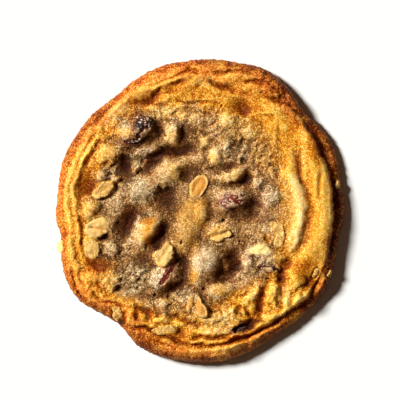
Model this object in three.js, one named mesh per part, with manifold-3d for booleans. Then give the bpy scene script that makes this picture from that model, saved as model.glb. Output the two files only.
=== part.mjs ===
// A thin, wrinkled oatmeal raisin cookie, lying flat as it came off the tray. One baked body of dough
// carries the oat flakes that show on top; five raisins sit in it, each in a pocket of its own.
// Units are millimetres. +Z is up, the flat underside lies on z = 0 and the origin is below the middle.
import * as THREE from 'three';
import { mergeVertices } from 'three/addons/utils/BufferGeometryUtils.js';
import Module from 'manifold-3d';

const wasm = await Module();
wasm.setup();

// ---- driving dimensions ----

const plateauHeight = 8.2; // the flat of the cookie, before its wrinkles and lumps
const centreRise = 1.2; // the middle stays this much thicker than the spread edge
const centreRiseRadius = 38;
const rimHeight = 3.4; // where the top surface meets the edge
const rimRollWidth = 6.5; // the quarter-round that the top falls through towards the rim
const thinnestRim = 2.4; // a ledge never cuts the edge down below this
const rimRings = 30; // rings of the top surface, about 1.9 mm apart; ring k has 6k points
const edgeInset = 1.3; // how far the last top ring lies inside the outline
const edgeRings = [ // the bulging side: inset from the outline, share of the rim height
  { inset: 0.25, share: 0.66 },
  { inset: 0, share: 0.4 },
  { inset: 0.9, share: 0 },
];
const raisinGap = 0.3; // air between a raisin and its pocket
const creaseTaper = 4; // length over which each end of a line fades out
const valleyTaper = 7;
const ledgeTaper = 14;
const lumpSizes = [ // the crumb's own unevenness: spacing, height and seed
  { spacing: 6, height: 0.35, seed: 1 },
  { spacing: 3.2, height: 0.25, seed: 2 },
];

// The outline seen from above, anticlockwise from the right-hand side.
const rimPoints = [
  [57.85, 0], [56.5, 10], [55, 20], [51.5, 29], [45.5, 36], [42, 39], [39, 43.5], [34, 50.5], [25, 57],
  [15, 59.2], [5, 60.6], [-5, 59.9], [-15, 58], [-25, 53], [-35, 44.8], [-42.5, 39], [-49, 31],
  [-54.8, 20], [-57, 5], [-57.8, -2], [-55.8, -10], [-55.5, -20], [-52.5, -30], [-47, -37], [-38, -42],
  [-31, -47], [-25, -54], [-15, -58.7], [0, -60.6], [10, -60], [20, -56.5], [30, -50], [40, -43],
  [50, -32], [53.5, -22], [55.8, -10],
];

// ---- the wrinkles and lumps of the top ----

const lineWith = (taper) => (size, halfWidth, ...points) => {
  const path = smoothPath(points);
  const length = path.slice(1).reduce((sum, point, k) => sum + point.distanceTo(path[k]), 0);
  return { size, halfWidth, path, endShare: Math.min(0.5, taper / length) };
};
const crease = lineWith(creaseTaper);
const valley = lineWith(valleyTaper);
const ledge = lineWith(ledgeTaper);
const roll = lineWith(valleyTaper);
const outlined = (size, centre, ...edge) => ({ size, centre, polar: polarOf(edge, centre) });

// Creases between the rolls of the spread edge: depth, half width, points.
const creases = [
  crease(0.5, 1.3, [38.3, 25], [38.8, 20], [39.5, 14], [41, 9]),
  crease(0.5, 1.3, [44.6, 2], [43.2, -2.5], [42.3, -7], [41.6, -11.5], [39.8, -15.5], [37.3, -19.5]),
  crease(0.8, 1.3, [-43.5, 33], [-40.5, 36.7], [-37.5, 39.3], [-35.5, 41], [-32.3, 44]),
  crease(0.6, 1.3, [-19.5, 42.6], [-15.5, 42.1], [-11.5, 42.4]),
  crease(0.8, 1.3, [4, 54.7], [9, 55], [13, 55.5], [18, 55.5], [22.5, 54.7]),
  crease(1, 1.3, [2.5, 53.6], [5.3, 50.9], [8.5, 49.4], [12, 48.6], [16, 47.6]),
  crease(0.6, 1.3, [17, 51.3], [20, 51.8], [22.5, 51]),
  crease(0.7, 1.3, [33, 48.5], [35.5, 44], [38.3, 40.3], [40.5, 37]),
  crease(0.7, 1.3, [-51, -21], [-50.8, -26], [-49.3, -30.5], [-47.3, -34], [-43.5, -37.8]),
  crease(0.6, 1.3, [-43.8, -31], [-42.3, -33.5], [-39.8, -36], [-36, -36.5], [-32.5, -37.7], [-30, -39.5]),
  crease(1, 1.3, [-28, -36.3], [-24.5, -38.7], [-21, -40.5], [-18, -41.7]),
  crease(0.7, 1.3, [-30.2, -39], [-29.7, -42.5], [-29.5, -46]),
  crease(0.6, 1.3, [-25.2, -39.5], [-24.6, -42.5], [-25, -46]),
  crease(1.2, 1.3, [-32, -45], [-27, -46.7], [-22, -46.9], [-18.5, -48.3], [-15, -50], [-11, -51.4], [-7, -53],
    [-2, -54], [3, -54.5], [8, -53.9], [13, -52.6], [18, -50.8], [23, -48.4], [28, -45.4]),
  crease(0.7, 1.3, [-14, -41.5], [-10, -42.3], [-6.5, -43.8], [-3, -45.6], [1, -46.4]),
  crease(0.8, 1.3, [-5, -51.5], [0, -50.4], [5, -51], [10, -50.3], [13.5, -49.3]),
  crease(0.8, 1.3, [26.8, -25.5], [25.8, -31], [24.3, -35], [24, -38.5], [24.6, -43]),
  crease(0.7, 1.3, [32.9, -25.5], [32.7, -31], [32.2, -35.5], [33, -40.5]),
  crease(0.6, 1.3, [18.3, -38], [19.3, -41], [20.8, -44]),
];

// Wide valleys between the lumps of the middle: depth, half width, points.
const valleys = [
  valley(1.8, 2.7, [-21.5, 16.5], [-19, 19.5], [-15, 22.4], [-9.5, 23.6], [-4, 24.2], [0, 25.5]),
  valley(1.5, 3, [-21, 2], [-25.6, -0.4], [-28.4, -5.5], [-30.5, -13.5]),
  valley(1.5, 2.9, [-12.8, -4], [-14.2, -8.5], [-17.5, -12.3], [-22.5, -16.5]),
  valley(1.4, 1.8, [-10, -18], [-6.4, -20.5], [-5.4, -25], [-7.5, -29.5], [-12.5, -32], [-18, -34]),
  valley(2.1, 3.1, [10.5, -14.5], [12.8, -19], [12.6, -24], [8.5, -27.3], [4.5, -28.5]),
  valley(1, 1.8, [9, -1.5], [14, -2.6], [20, -2.6], [24, -2]),
  valley(1.3, 2, [31, -22.5], [33, -26.5], [33, -31]),
  valley(1.5, 1.6, [15, -44.8], [20, -45.4], [26, -43.6]),
  valley(0.8, 2, [3, 16.2], [8, 17.2], [12, 18], [16, 18.3]),
  valley(1.1, 1.9, [12.5, 10.2], [17, 11], [20, 13.8], [20.6, 17.5]),
  valley(1.2, 2.4, [-29.5, 27], [-29.5, 22], [-29, 17.5], [-26, 15.5]),
  valley(1, 2.2, [-7, 37], [-6.5, 31], [-4, 26]),
];

// Ledges where the middle ends above a thin browned edge: drop, width of the fall, points.
const ledges = [
  ledge(3, 1.7, [37.5, 41], [41, 34], [45, 26.5], [48, 20.5], [50.4, 15], [51.8, 8], [52.1, 0], [51.7, -9],
    [50.2, -17], [48.5, -24]),
  ledge(2.2, 1.5, [51.4, -17], [47.2, -25.5], [43.8, -31.4], [39.5, -36.4], [35, -39.4], [30, -42.8], [25, -46],
    [19.5, -48.5], [14, -49.6], [7, -50.6]),
  ledge(0.7, 1, [-33, 43.8], [-42, 35], [-47, 27.5]),
];

// Rolls of dough that stand proud beside the creases: height, half width, points.
const rolls = [
  roll(1.2, 2.6, [33.5, 21], [36.5, 14], [39, 7], [40.3, 0], [39.5, -6], [37.5, -11.5], [34.5, -16.5]),
  roll(1.2, 3.4, [40, 36], [43.5, 27], [45.3, 18], [47.5, 7], [49, 0], [48.3, -7], [46, -14], [42, -20],
    [38.5, -26], [35.5, -33]),
  roll(0.65, 1.5, [-43.5, 30.5], [-47, 23], [-50.5, 16], [-52.3, 9], [-53, 3], [-52.3, -3], [-51.3, -9],
    [-51.8, -15], [-50.5, -21], [-48, -26]),
  roll(0.8, 1.6, [-40, 30.5], [-43.8, 24.5], [-47, 18.5], [-49.8, 13.5], [-50.8, 8], [-50.3, 3], [-49.2, -3],
    [-48.3, -10], [-48.5, -16]),
  roll(1.3, 1.6, [-38, 36.5], [-33.5, 41.8], [-28.5, 45], [-22.5, 47.8], [-18, 49.8], [-13, 51.4], [-8, 53],
    [-3, 54]),
  roll(0.6, 2.4, [-36, 38], [-31, 40.5], [-28, 40]),
  roll(0.8, 2.6, [-10, 47.5], [-3, 51.5], [1, 50.5]),
  roll(0.7, 1.5, [-16, 43.8], [-12, 45.5], [-6, 45.2]),
  roll(0.9, 1.8, [4.5, 52.4], [10, 52.4], [15, 52.8], [20, 53.4]),
  roll(0.8, 1.8, [13, 50], [19, 49.5], [24, 48.6], [28.5, 46.5]),
  roll(0.5, 2.4, [-8, 57.3], [0, 58.4], [8, 58], [16, 57.4], [23, 56]),
  roll(0.8, 1.4, [33.8, 47], [37, 43], [40.5, 38.5]),
  roll(0.9, 2.6, [23, 42], [29, 40.3], [36, 39.3]),
  roll(0.6, 3, [24, 34.5], [31, 34], [37, 33]),
  roll(1.3, 2.6, [29.7, -28], [29.2, -33], [28.5, -39]),
  roll(1.1, 2, [24.6, -26.5], [23.2, -31.5], [19.5, -35.5], [14, -38]),
  roll(0.9, 1.5, [21.8, -37], [21.3, -42]),
  roll(1, 1.7, [35, -34], [33.5, -39]),
  roll(1, 1.6, [41, -34], [37.5, -37.7]),
  roll(0.9, 1.4, [31, -41.6], [25.5, -44.8]),
  roll(1.3, 2.6, [-2, -44.2], [6, -43], [13, -41.4], [19, -39.6]),
  roll(1, 2, [-3, -48], [4, -48.6], [11, -47.4]),
  roll(1.3, 1.5, [4, -56], [13, -54.4], [20, -53], [27, -49], [32, -45.7], [37.5, -42.5]),
  roll(1.4, 1.3, [51.5, -25.5], [49.2, -30], [46.2, -34.8]),
  roll(0.9, 2.8, [-27, -49.5], [-19, -52.8], [-11, -55.7], [-3, -57.3], [5, -57.6]),
  roll(1, 2.1, [-28, -37.5], [-27, -41], [-27, -45]),
  roll(0.9, 1.6, [-23.5, -40.5], [-22, -44.5]),
  roll(0.7, 1.8, [-47, -27], [-44, -31.5], [-40.5, -35]),
  roll(0.7, 2, [-54, -21], [-51.3, -29], [-47.5, -35.5], [-42, -39]),
  roll(0.8, 1.3, [-5.5, 20.8], [-2, 20.8], [2.5, 20.6]),
];

// Lumps of the middle, over raisins and clumps of oats: height, centre, points round the edge.
const humps = [
  outlined(2.2, [12.5, 13.7], [4.6, 13.4], [8, 14.6], [12, 15.4], [15.5, 17.6], [18.3, 18.2], [19, 15.8],
    [17, 12.9], [13, 11.4], [8, 11.2]),
  outlined(2, [-17, 12.5], [-6, 20.5], [-10, 21.8], [-14, 21.3], [-18, 19.5], [-20.8, 16], [-25, 14.8],
    [-29, 12.5], [-30, 8.5], [-28, 4.3], [-24, 3], [-20, 5], [-16.5, 8.3], [-11.5, 10.3], [-7, 14.5]),
  outlined(1.8, [-12.5, 16.5], [-17.5, 18.5], [-14, 21], [-10, 21.5], [-6.8, 20.3], [-6.5, 17], [-8.5, 13.5],
    [-11, 11.5], [-15, 11], [-18.5, 13.5]),
  outlined(1.6, [-24.5, 8.5], [-28.3, 11.5], [-25, 13.5], [-21, 13.5], [-19.5, 10], [-20.5, 6], [-24, 3.8],
    [-28, 5.5]),
  outlined(1.7, [-0.2, -0.6], [-1.7, 5], [1.6, 4.8], [3.3, 1.2], [3.1, -3.3], [1.2, -6.3], [-1.8, -5.8],
    [-3.3, -2], [-3.3, 2]),
  outlined(1.7, [-3.5, -3], [1.5, 4.7], [3.4, 1], [3.3, -4], [1, -8], [-2.5, -12], [-6, -16.5], [-8.5, -18],
    [-10.5, -16.5], [-11.5, -12], [-11.5, -7], [-10.5, -2], [-9, 3], [-4.5, 5.5]),
  outlined(2.8, [-20.8, -7.5], [-21.5, -0.9], [-18, -0.6], [-14.8, -2.2], [-14, -5.6], [-15.6, -9],
    [-19, -12.8], [-23.4, -15.4], [-27, -14.8], [-28, -11], [-26.4, -6.5], [-24.2, -3]),
  outlined(2.9, [1.3, -20.5], [-3.6, -16.5], [-1, -13.6], [3, -12.4], [7, -13.6], [9.4, -17.5], [9, -22.5],
    [6.3, -26], [2, -28.4], [-1.5, -29.8], [-4.6, -28.6], [-5.6, -25], [-4.8, -20.5]),
  outlined(1.8, [-14.4, -17.5], [-12.8, -12.3], [-10.6, -14], [-10.3, -17.5], [-12, -20.6], [-14.8, -22.8],
    [-17.3, -21.5], [-18.8, -18.8], [-16.5, -15.5]),
  outlined(2.2, [-14.6, -26.4], [-19, -22.5], [-15, -21.3], [-10.5, -20], [-7.9, -22.3], [-8.2, -26.5],
    [-11.2, -30.2], [-15.5, -32.4], [-18.6, -32.3], [-20.3, -29], [-20.6, -25.5]),
  outlined(2.2, [8.3, -9], [1, -7.5], [4, -4], [9, -3.5], [14, -5], [16.3, -9], [15, -13], [10, -15], [4, -14],
    [1, -11.5]),
  outlined(3, [12.6, 4.8], [4.5, 8], [10, 10], [15, 10.5], [19.3, 8.8], [20.5, 5], [18.3, 1.3], [13, -0.4],
    [8, 0], [5, 3]),
  outlined(1.7, [6.3, 21.8], [3.8, 24.8], [7, 25.8], [9.4, 24.3], [9.6, 21], [8.3, 18.3], [5, 17.8], [3.6, 20]),
  outlined(2.9, [-26, 32], [-33.7, 31], [-31, 35.8], [-26, 38.7], [-20.5, 38.4], [-18, 34.8], [-18.4, 30],
    [-22, 26.5], [-27.5, 25.6], [-31.7, 27]),
  outlined(1.8, [-11, 30], [-13.8, 27], [-13.7, 31], [-13, 35], [-9.5, 35.8], [-7.6, 32], [-8.5, 28],
    [-11, 25.6]),
  outlined(1.6, [-20.5, 24.4], [-28, 24.3], [-24.5, 25.5], [-19.5, 27], [-15, 29.3], [-13.8, 26.5],
    [-17.5, 22.8], [-21.5, 20.8], [-26, 21]),
  outlined(1.2, [-25.3, 17.3], [-28, 19], [-24, 20], [-22.3, 17], [-24, 14.7], [-27.7, 15]),
  outlined(1.7, [7.7, -31.8], [2, -31.5], [4, -28.8], [8, -28], [12, -29], [13.4, -32], [10.5, -35], [5, -36],
    [2.3, -34]),
  outlined(1.9, [-37, 23.2], [-40.5, 26], [-36, 26.8], [-32, 25.8], [-31, 22.3], [-33, 19], [-37, 18.8],
    [-41, 17.5], [-42.6, 19.5]),
  outlined(1.8, [-39.3, 14], [-41.8, 14.5], [-39.5, 17], [-37, 15.5], [-37.2, 12.5], [-39.5, 11.3]),
  outlined(1.4, [-33.7, 13], [-35.6, 13], [-33.5, 14.8], [-31.5, 13.3], [-33, 11.3]),
  outlined(2, [-44, 0.3], [-47.7, 1.5], [-44.8, 4.6], [-41.5, 4.3], [-39.8, 1.5], [-41, -1.5], [-43.5, -4.3],
    [-46.5, -3.6], [-48.2, -1]),
  outlined(1.4, [-39, 8], [-43.3, 6.6], [-40.5, 9.3], [-37, 12], [-34.4, 11.5], [-34, 8.5], [-36, 6],
    [-39.5, 4.6], [-42, 4.4]),
  outlined(1.2, [-35.5, -15], [-38.7, -16], [-37.2, -12.6], [-34, -11.8], [-32.3, -14.5], [-33.3, -17.7],
    [-36.5, -18.5]),
  outlined(1.4, [-35.8, -28.3], [-40, -26], [-37, -23.5], [-33.5, -24.3], [-30.8, -28], [-31.6, -31.7],
    [-36, -32.8], [-39.6, -30.7]),
  outlined(1.4, [-43, -25.8], [-46.8, -25.5], [-43.5, -23.3], [-39.8, -24.5], [-40, -28], [-43.5, -29.5]),
  outlined(1.4, [28.6, 5.8], [25.3, 7], [27.5, 9.8], [31, 8.8], [32.2, 5.5], [30.3, 2.2], [26.5, 2.5]),
  outlined(1, [22.8, 11], [20.6, 11], [22.5, 14], [25.3, 12.5], [24.8, 9], [22, 8]),
  outlined(1.1, [10.5, 35.6], [7, 35.2], [8.5, 38.5], [13, 38.2], [14.3, 35], [11, 32.8]),
  outlined(1, [2, 27.3], [-0.3, 27.5], [2, 29.7], [4.4, 27.7], [2.5, 25]),
  outlined(1.1, [-2, 36.3], [-5, 36], [-3, 39], [1.5, 38.5], [2.5, 35.5], [-1, 33.8]),
  outlined(1.1, [19.3, 31], [15.5, 31], [18, 34], [22.5, 33], [23, 29.5], [19, 27.8]),
  outlined(1.2, [28.5, -18.7], [22.5, -19.5], [25.5, -16.5], [31.5, -16.3], [34.3, -19], [32, -21.5],
    [26, -21.8]),
  outlined(1.4, [-1, -38], [-5.5, -37], [-2.5, -33.3], [1, -35], [4, -41.5], [1, -43.3], [-5.5, -39.8]),
  outlined(1.1, [-14.5, -37], [-18, -37], [-14, -34.6], [-10.5, -36.5], [-12.5, -39.7], [-16.5, -39.8]),
  outlined(1.1, [19, -20], [16.3, -20], [18.5, -16.8], [21.6, -18.5], [21.6, -22.5], [18, -23.7]),
  outlined(1.2, [-16, -44], [-19.5, -44], [-16.5, -42], [-12, -42.8], [-11.8, -45.3], [-16, -46]),
];

// Gouges and hollows: depth, deepest point, points round the edge.
const pits = [
  outlined(1.3, [-29.8, -5], [-32, 1.6], [-28, 3.2], [-24, 1.2], [-25, -2.6], [-27.2, -7], [-29, -12],
    [-32, -14.5], [-34.6, -10], [-33.8, -3]),
  outlined(1.3, [-18.6, 43.9], [-28, 43.2], [-24, 44.7], [-20.5, 46.2], [-17.8, 48.7], [-15.4, 49.3],
    [-15.5, 46.3], [-17.2, 43.2], [-20.5, 41.2], [-25, 41.2]),
  outlined(0.9, [-7.3, 51], [-14.5, 50.6], [-11, 51.9], [-7.5, 52.7], [-5.1, 52.1], [-5.1, 50.2], [-8, 49.9],
    [-11, 50]),
  outlined(1.5, [-3.6, 55.9], [-9.5, 54], [-6.5, 55.8], [-4, 58], [-2, 57], [0.5, 57], [2.2, 55.8], [0, 54.6],
    [-3, 54.5], [-6, 54.1]),
  outlined(1.2, [23.6, 51.1], [19.5, 52], [21.5, 52.9], [24, 52.6], [26.2, 51.3], [25.8, 50], [23, 49.8],
    [21, 50.8]),
  outlined(1.7, [31.8, 43.6], [25.8, 45], [28.5, 45.8], [31, 46.6], [33.5, 47.8], [34.8, 46], [35.8, 43.5],
    [37.5, 41.3], [34.5, 42], [31, 42.4], [28, 43.2]),
  outlined(1.6, [17.2, 40.6], [11.3, 42], [13, 44.8], [16.5, 45.6], [20, 45], [22.4, 42.3], [22.3, 39.6],
    [20.5, 38], [17.5, 36.7], [15, 37.8], [12.2, 39.5]),
  outlined(1.5, [-43.8, 7.7], [-50, 12.5], [-47, 16.3], [-43, 16.8], [-41.2, 13], [-41, 10], [-42.5, 7.3],
    [-46, 5], [-49.3, 3.6], [-50.5, 8]),
  outlined(1, [-30.5, 17.5], [-34.3, 20], [-30, 23], [-26.6, 19.5], [-26.8, 15.5], [-30, 13.6], [-33.3, 15]),
  outlined(1.7, [-38.6, -10.8], [-41.2, -11.6], [-40.5, -10.2], [-37, -9.2], [-35.6, -10.3], [-37.5, -12.3],
    [-40, -12.7]),
  outlined(1.1, [-7.6, -49.5], [-12, -50.7], [-9.5, -48], [-7.5, -45.8], [-4.8, -46.3], [-4.8, -50], [-7, -52],
    [-10, -52]),
  outlined(1.1, [-30.8, -44.8], [-33.7, -44.7], [-31.5, -42.1], [-29.3, -43], [-28.4, -46], [-30, -47],
    [-32, -46.4]),
  outlined(1.2, [-32, -31.6], [-34.5, -32.3], [-33, -30.4], [-30.5, -30.6], [-30.3, -32.5], [-32.3, -33.2]),
  outlined(1.6, [44.8, -28.5], [38.8, -32], [41.3, -28.6], [43.8, -24.6], [46.4, -22.4], [48, -26], [46.4, -32],
    [43, -33.8]),
  outlined(1.1, [35.2, -20.8], [31.3, -22.5], [33.3, -19.3], [36.5, -17.6], [38.3, -19.3], [36.3, -23],
    [34, -25.8], [32, -25]),
  outlined(1, [23.4, -40.8], [22.6, -37], [24.6, -37.5], [25.6, -42], [24, -45], [19.5, -45.6], [21.8, -43.4]),
  outlined(1.7, [16.8, -47.6], [12.8, -48.5], [14, -46.3], [17, -45.2], [20, -45.6], [24, -46.6], [22, -49],
    [17, -49.8]),
  outlined(1, [15.8, -39.8], [14, -39], [15.5, -37.7], [17.3, -39], [17, -42], [15.2, -42]),
  outlined(1, [-15.2, 31.5], [-17.8, 30], [-17.5, 35.5], [-15, 37.5], [-13.9, 34], [-14.2, 29], [-15.5, 26.8]),
  outlined(1.4, [-12.5, 6.3], [-19, 4.5], [-16.5, 8], [-11.5, 10], [-7.5, 8.3], [-8.5, 4], [-12, 0],
    [-17, 0.5]),
  outlined(0.9, [-5.5, 14], [-8.5, 12.8], [-6.8, 17.8], [-3, 17.5], [-3.2, 12.5], [-6, 10.5]),
  outlined(1.1, [21.5, 1], [18.8, 3.5], [20.3, 7], [24, 6], [25.5, 1.5], [23.5, -3.2], [18, -3], [16, -0.5]),
  outlined(0.8, [13.5, 23.3], [10, 20.5], [9.8, 25.5], [13.5, 28], [17.5, 26], [15.8, 22.5], [14.5, 19.6]),
  outlined(1, [17.4, 19.8], [15.7, 19.7], [16.5, 21.5], [19.2, 21.5], [19.5, 19], [17.5, 18.2]),
  outlined(0.8, [26.7, -11], [25.2, -10.5], [27, -8.8], [28.3, -10.5], [27.7, -13.2], [25.8, -12.7]),
  outlined(0.6, [-24.5, -20], [-29, -20], [-25, -17], [-21, -18.5], [-21.3, -22.5], [-26, -23.5]),
  outlined(0.8, [-24.5, -35], [-31, -34], [-25, -32], [-19, -34.5], [-20, -37.5], [-26, -37]),
];

// ---- the pieces on the dough ----

// Oat flakes that show: centre, how far the upper face stands above the dough, points round the edge.
const oatThickness = 2;
const oats = [
  { centre: [-0.6, 9.5], proud: 1, edge: [[-3.9, 6.2], [-4.3, 9], [-3.2, 12], [-0.6, 14], [1.9, 14.3],
      [3.1, 12.3], [2.8, 9.5], [1.4, 7], [-0.6, 5.2], [-2.6, 5]] },
  { centre: [-41, -6.8], proud: 1.3, edge: [[-46, -8.6], [-45.7, -6], [-43.5, -4.3], [-41, -2.9], [-38.4, -2.6],
      [-36.5, -4.2], [-35.9, -6.5], [-36.6, -8.3], [-39, -9.9], [-41.5, -11], [-44, -11.2], [-45.7, -10.2]] },
  { centre: [-43, -15.3], proud: 1.1, edge: [[-46.4, -14.5], [-46, -12.3], [-43.5, -11.6], [-41, -12.5],
      [-39.9, -15], [-40.4, -17.6], [-42.4, -19.7], [-44.6, -19], [-46, -17]] },
  { centre: [-55.6, -14.3], proud: 0.9, edge: [[-57.3, -16], [-57.4, -14], [-56.2, -12.2], [-54.4, -11.8],
      [-53.5, -13.5], [-54, -15.6], [-55.8, -17]] },
  { centre: [-38.7, 8.2], proud: 0.7, edge: [[-43.2, 6.5], [-40.7, 9.3], [-37.6, 11.7], [-35, 11.7],
      [-34.4, 9.6], [-36, 6.9], [-39.5, 5], [-41.6, 4.5]] },
  { centre: [-14.2, -17.5], proud: 1.2, edge: [[-13, -12.6], [-11.2, -13.8], [-10.4, -16.8], [-11.8, -20.2],
      [-14.2, -22.6], [-16.2, -22.6], [-17.6, -20.6], [-18.9, -18.6], [-17.8, -16.4], [-15.5, -15.6],
      [-14.4, -13.8]] },
  { centre: [7.6, -9.8], proud: 0.6, edge: [[3.2, -9.6], [4.6, -8.2], [7, -8], [9.6, -7.2], [12.2, -8.4],
      [12.2, -10.2], [9.8, -11], [8, -12.4], [6, -12.1], [4, -11.4]] },
  { centre: [23.8, -15.9], proud: 1.6, edge: [[19.1, -16.6], [21, -14.9], [23.6, -13.6], [26.2, -13.8],
      [28.2, -15.6], [27.4, -17.2], [25, -17.7], [21.8, -17.7]] },
  { centre: [-1.2, -38], proud: 1.3, edge: [[-5.1, -36.9], [-4.2, -34.8], [-2.4, -33.9], [-0.3, -34.6],
      [1, -37], [2.6, -39.3], [3.2, -41.6], [1.6, -42.9], [-1, -41.8], [-3, -40.6], [-5.2, -39.4]] },
  { centre: [29.3, -6.8], proud: 0.6, edge: [[28.2, -4.6], [29.8, -4.2], [30.6, -6.5], [30.2, -9.2],
      [28.9, -9.6], [28.1, -7.2]] },
  { centre: [31.6, -9.6], proud: 0.7, edge: [[30.6, -5], [32.4, -4.6], [33.3, -8], [33.3, -12], [32, -14.8],
      [30.2, -14.4], [30.4, -10]] },
  { centre: [-33, -41], proud: 0.7, edge: [[-35, -39], [-32.7, -38.4], [-31.2, -40.5], [-31.8, -43],
      [-33.6, -44.4], [-34.8, -42.6], [-34.6, -40.6]] },
  { centre: [-14, -47.6], proud: 0.7, edge: [[-19.4, -48], [-17, -46.7], [-14, -45.9], [-11, -45.6],
      [-8.8, -47], [-10.4, -48.9], [-14, -49.7], [-17.5, -49.3]] },
  { centre: [46.4, -25], proud: 0.5, edge: [[44.9, -26.8], [45.3, -25], [46.3, -23.2], [47.6, -22.9],
      [47.6, -24.6], [46.4, -26.6]] },
  { centre: [51.6, -25.2], proud: 0.7, edge: [[50.8, -26.6], [51, -25], [51.8, -23.8], [52.5, -24],
      [52.3, -25.6], [51.5, -26.8]] },
  { centre: [55, 10.3], proud: 0.8, edge: [[54.2, 9], [54.2, 11], [55.2, 12.2], [55.9, 11], [55.9, 9.3],
      [55, 8.6]] },
];

// Raisins: place, size, turn about Z in degrees, and how far the raisin's crown stands above the lump
// of dough round it.
const raisins = [
  { x: -24.6, y: 32.4, length: 14, width: 9.6, height: 6.5, turn: 38, proud: 1 },
  { x: 12.6, y: 4.4, length: 12, width: 7.4, height: 5.5, turn: 8, proud: 0.7 },
  { x: -13.6, y: -24.8, length: 12, width: 6.5, height: 5.5, turn: 58, proud: 0.6 },
  { x: 28, y: -22.8, length: 9.5, width: 4.6, height: 4.5, turn: -6, proud: 0.7 },
  { x: 16.6, y: -47.4, length: 8.5, width: 4.6, height: 4.2, turn: 12, proud: 0.6 },
];
const wrinkleDepth = 0.11; // of a raisin's radius
const wrinkleTurns = 7; // creases round a raisin

// ---- materials ----

const doughMaterial = new THREE.MeshStandardMaterial({ color: 0xc98f45, roughness: 0.82, metalness: 0 });
const raisinMaterial = new THREE.MeshStandardMaterial({ color: 0x2f1712, roughness: 0.38, metalness: 0 });

// ---- the shape of the top ----

// A smooth open curve through the points, as short straight steps.
function smoothPath(points) {
  const stepsPerPoint = 4;
  const curve = new THREE.SplineCurve(points.map(([x, y]) => new THREE.Vector2(x, y)));
  return curve.getPoints(stepsPerPoint * (points.length - 1));
}

// Points as angle and distance from a centre, in order of their angle.
function polarOf(points, [cx, cy] = [0, 0]) {
  return points
    .map(([x, y]) => ({
      angle: (Math.atan2(y - cy, x - cx) + 2 * Math.PI) % (2 * Math.PI),
      radius: Math.hypot(x - cx, y - cy),
    }))
    .sort((a, b) => a.angle - b.angle);
}

// The radius in a direction of a smooth closed curve through such points.
function closedRadius(polar, direction) {
  const angle = (direction + 2 * Math.PI) % (2 * Math.PI);
  const count = polar.length;
  let here = polar.findLastIndex((p) => p.angle <= angle);
  const past = here < 0 ? angle + 2 * Math.PI : angle;
  if (here < 0) here = count - 1;
  const at = (step) => polar[(here + step + count) % count];
  const start = at(0).angle;
  const end = at(1).angle > start ? at(1).angle : at(1).angle + 2 * Math.PI;
  return catmullRom((past - start) / (end - start), at(-1).radius, at(0).radius, at(1).radius, at(2).radius);
}

const rimPolar = polarOf(rimPoints);
const rimRadius = (direction) => closedRadius(rimPolar, direction);

function catmullRom(t, a, b, c, d) {
  return 0.5 * (2 * b + (c - a) * t + (2 * a - 5 * b + 4 * c - d) * t * t + (3 * b - a - 3 * c + d) * t ** 3);
}

// How near a point is to a path, on which side, and a strength of 1 that fades towards both ends.
function nearPath(x, y, { path, endShare }) {
  let nearest = Infinity;
  let along = 0;
  let pathRadius = 0;
  for (let k = 0; k + 1 < path.length; k++) {
    const dx = path[k + 1].x - path[k].x;
    const dy = path[k + 1].y - path[k].y;
    const t = THREE.MathUtils.clamp(
      ((x - path[k].x) * dx + (y - path[k].y) * dy) / (dx * dx + dy * dy), 0, 1);
    const distance = Math.hypot(x - path[k].x - t * dx, y - path[k].y - t * dy);
    if (distance < nearest) {
      nearest = distance;
      along = (k + t) / (path.length - 1);
      pathRadius = Math.hypot(path[k].x + t * dx, path[k].y + t * dy);
    }
  }
  const outward = Math.hypot(x, y) > pathRadius ? nearest : -nearest;
  const fade = THREE.MathUtils.smootherstep(Math.min(along, 1 - along), 0, endShare);
  return { distance: nearest, outward, fade };
}

// How far out a point lies in an outline: 0 at its centre, 1 on its edge.
const outlineReach = (x, y, { centre: [cx, cy], polar }) =>
  Math.hypot(x - cx, y - cy) / closedRadius(polar, Math.atan2(y - cy, x - cx));

// A rounded lump and a soft-edged pit: both 1 in the middle and 0 outside.
const dome = (reach) => THREE.MathUtils.smootherstep(1.35 - reach, 0, 1.25);
const bowl = (reach) => THREE.MathUtils.smootherstep(1.25 - reach, 0, 1.2);

// Smooth noise from -1 to 1 on a square lattice of hashed values.
function valueNoise(x, y, seed) {
  const hash = (i, j) => {
    const v = Math.sin(i * 127.1 + j * 311.7 + seed * 74.7) * 43758.5453;
    return v - Math.floor(v);
  };
  const i = Math.floor(x);
  const j = Math.floor(y);
  const f = THREE.MathUtils.smoothstep(x - i, 0, 1);
  const g = THREE.MathUtils.smoothstep(y - j, 0, 1);
  const low = THREE.MathUtils.lerp(hash(i, j), hash(i + 1, j), f);
  const high = THREE.MathUtils.lerp(hash(i, j + 1), hash(i + 1, j + 1), f);
  return 2 * THREE.MathUtils.lerp(low, high, g) - 1;
}

// The crumb's lumps, stronger in the middle and at the near left than on the smooth outer rolls.
function crumb(x, y) {
  const middle = Math.exp(-((Math.hypot(x, y) / 42) ** 6));
  const nearLeft = THREE.MathUtils.clamp(-(0.5 * x + 0.85 * y) / 45, 0, 1);
  const strength = 0.35 + 0.75 * Math.max(middle, nearLeft);
  return lumpSizes.reduce((sum, { spacing, height, seed }) => {
    const turn = 0.9 * seed;
    const u = x * Math.cos(turn) - y * Math.sin(turn);
    const v = x * Math.sin(turn) + y * Math.cos(turn);
    return sum + strength * height * valueNoise(u / spacing, v / spacing, seed);
  }, 0);
}

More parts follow.
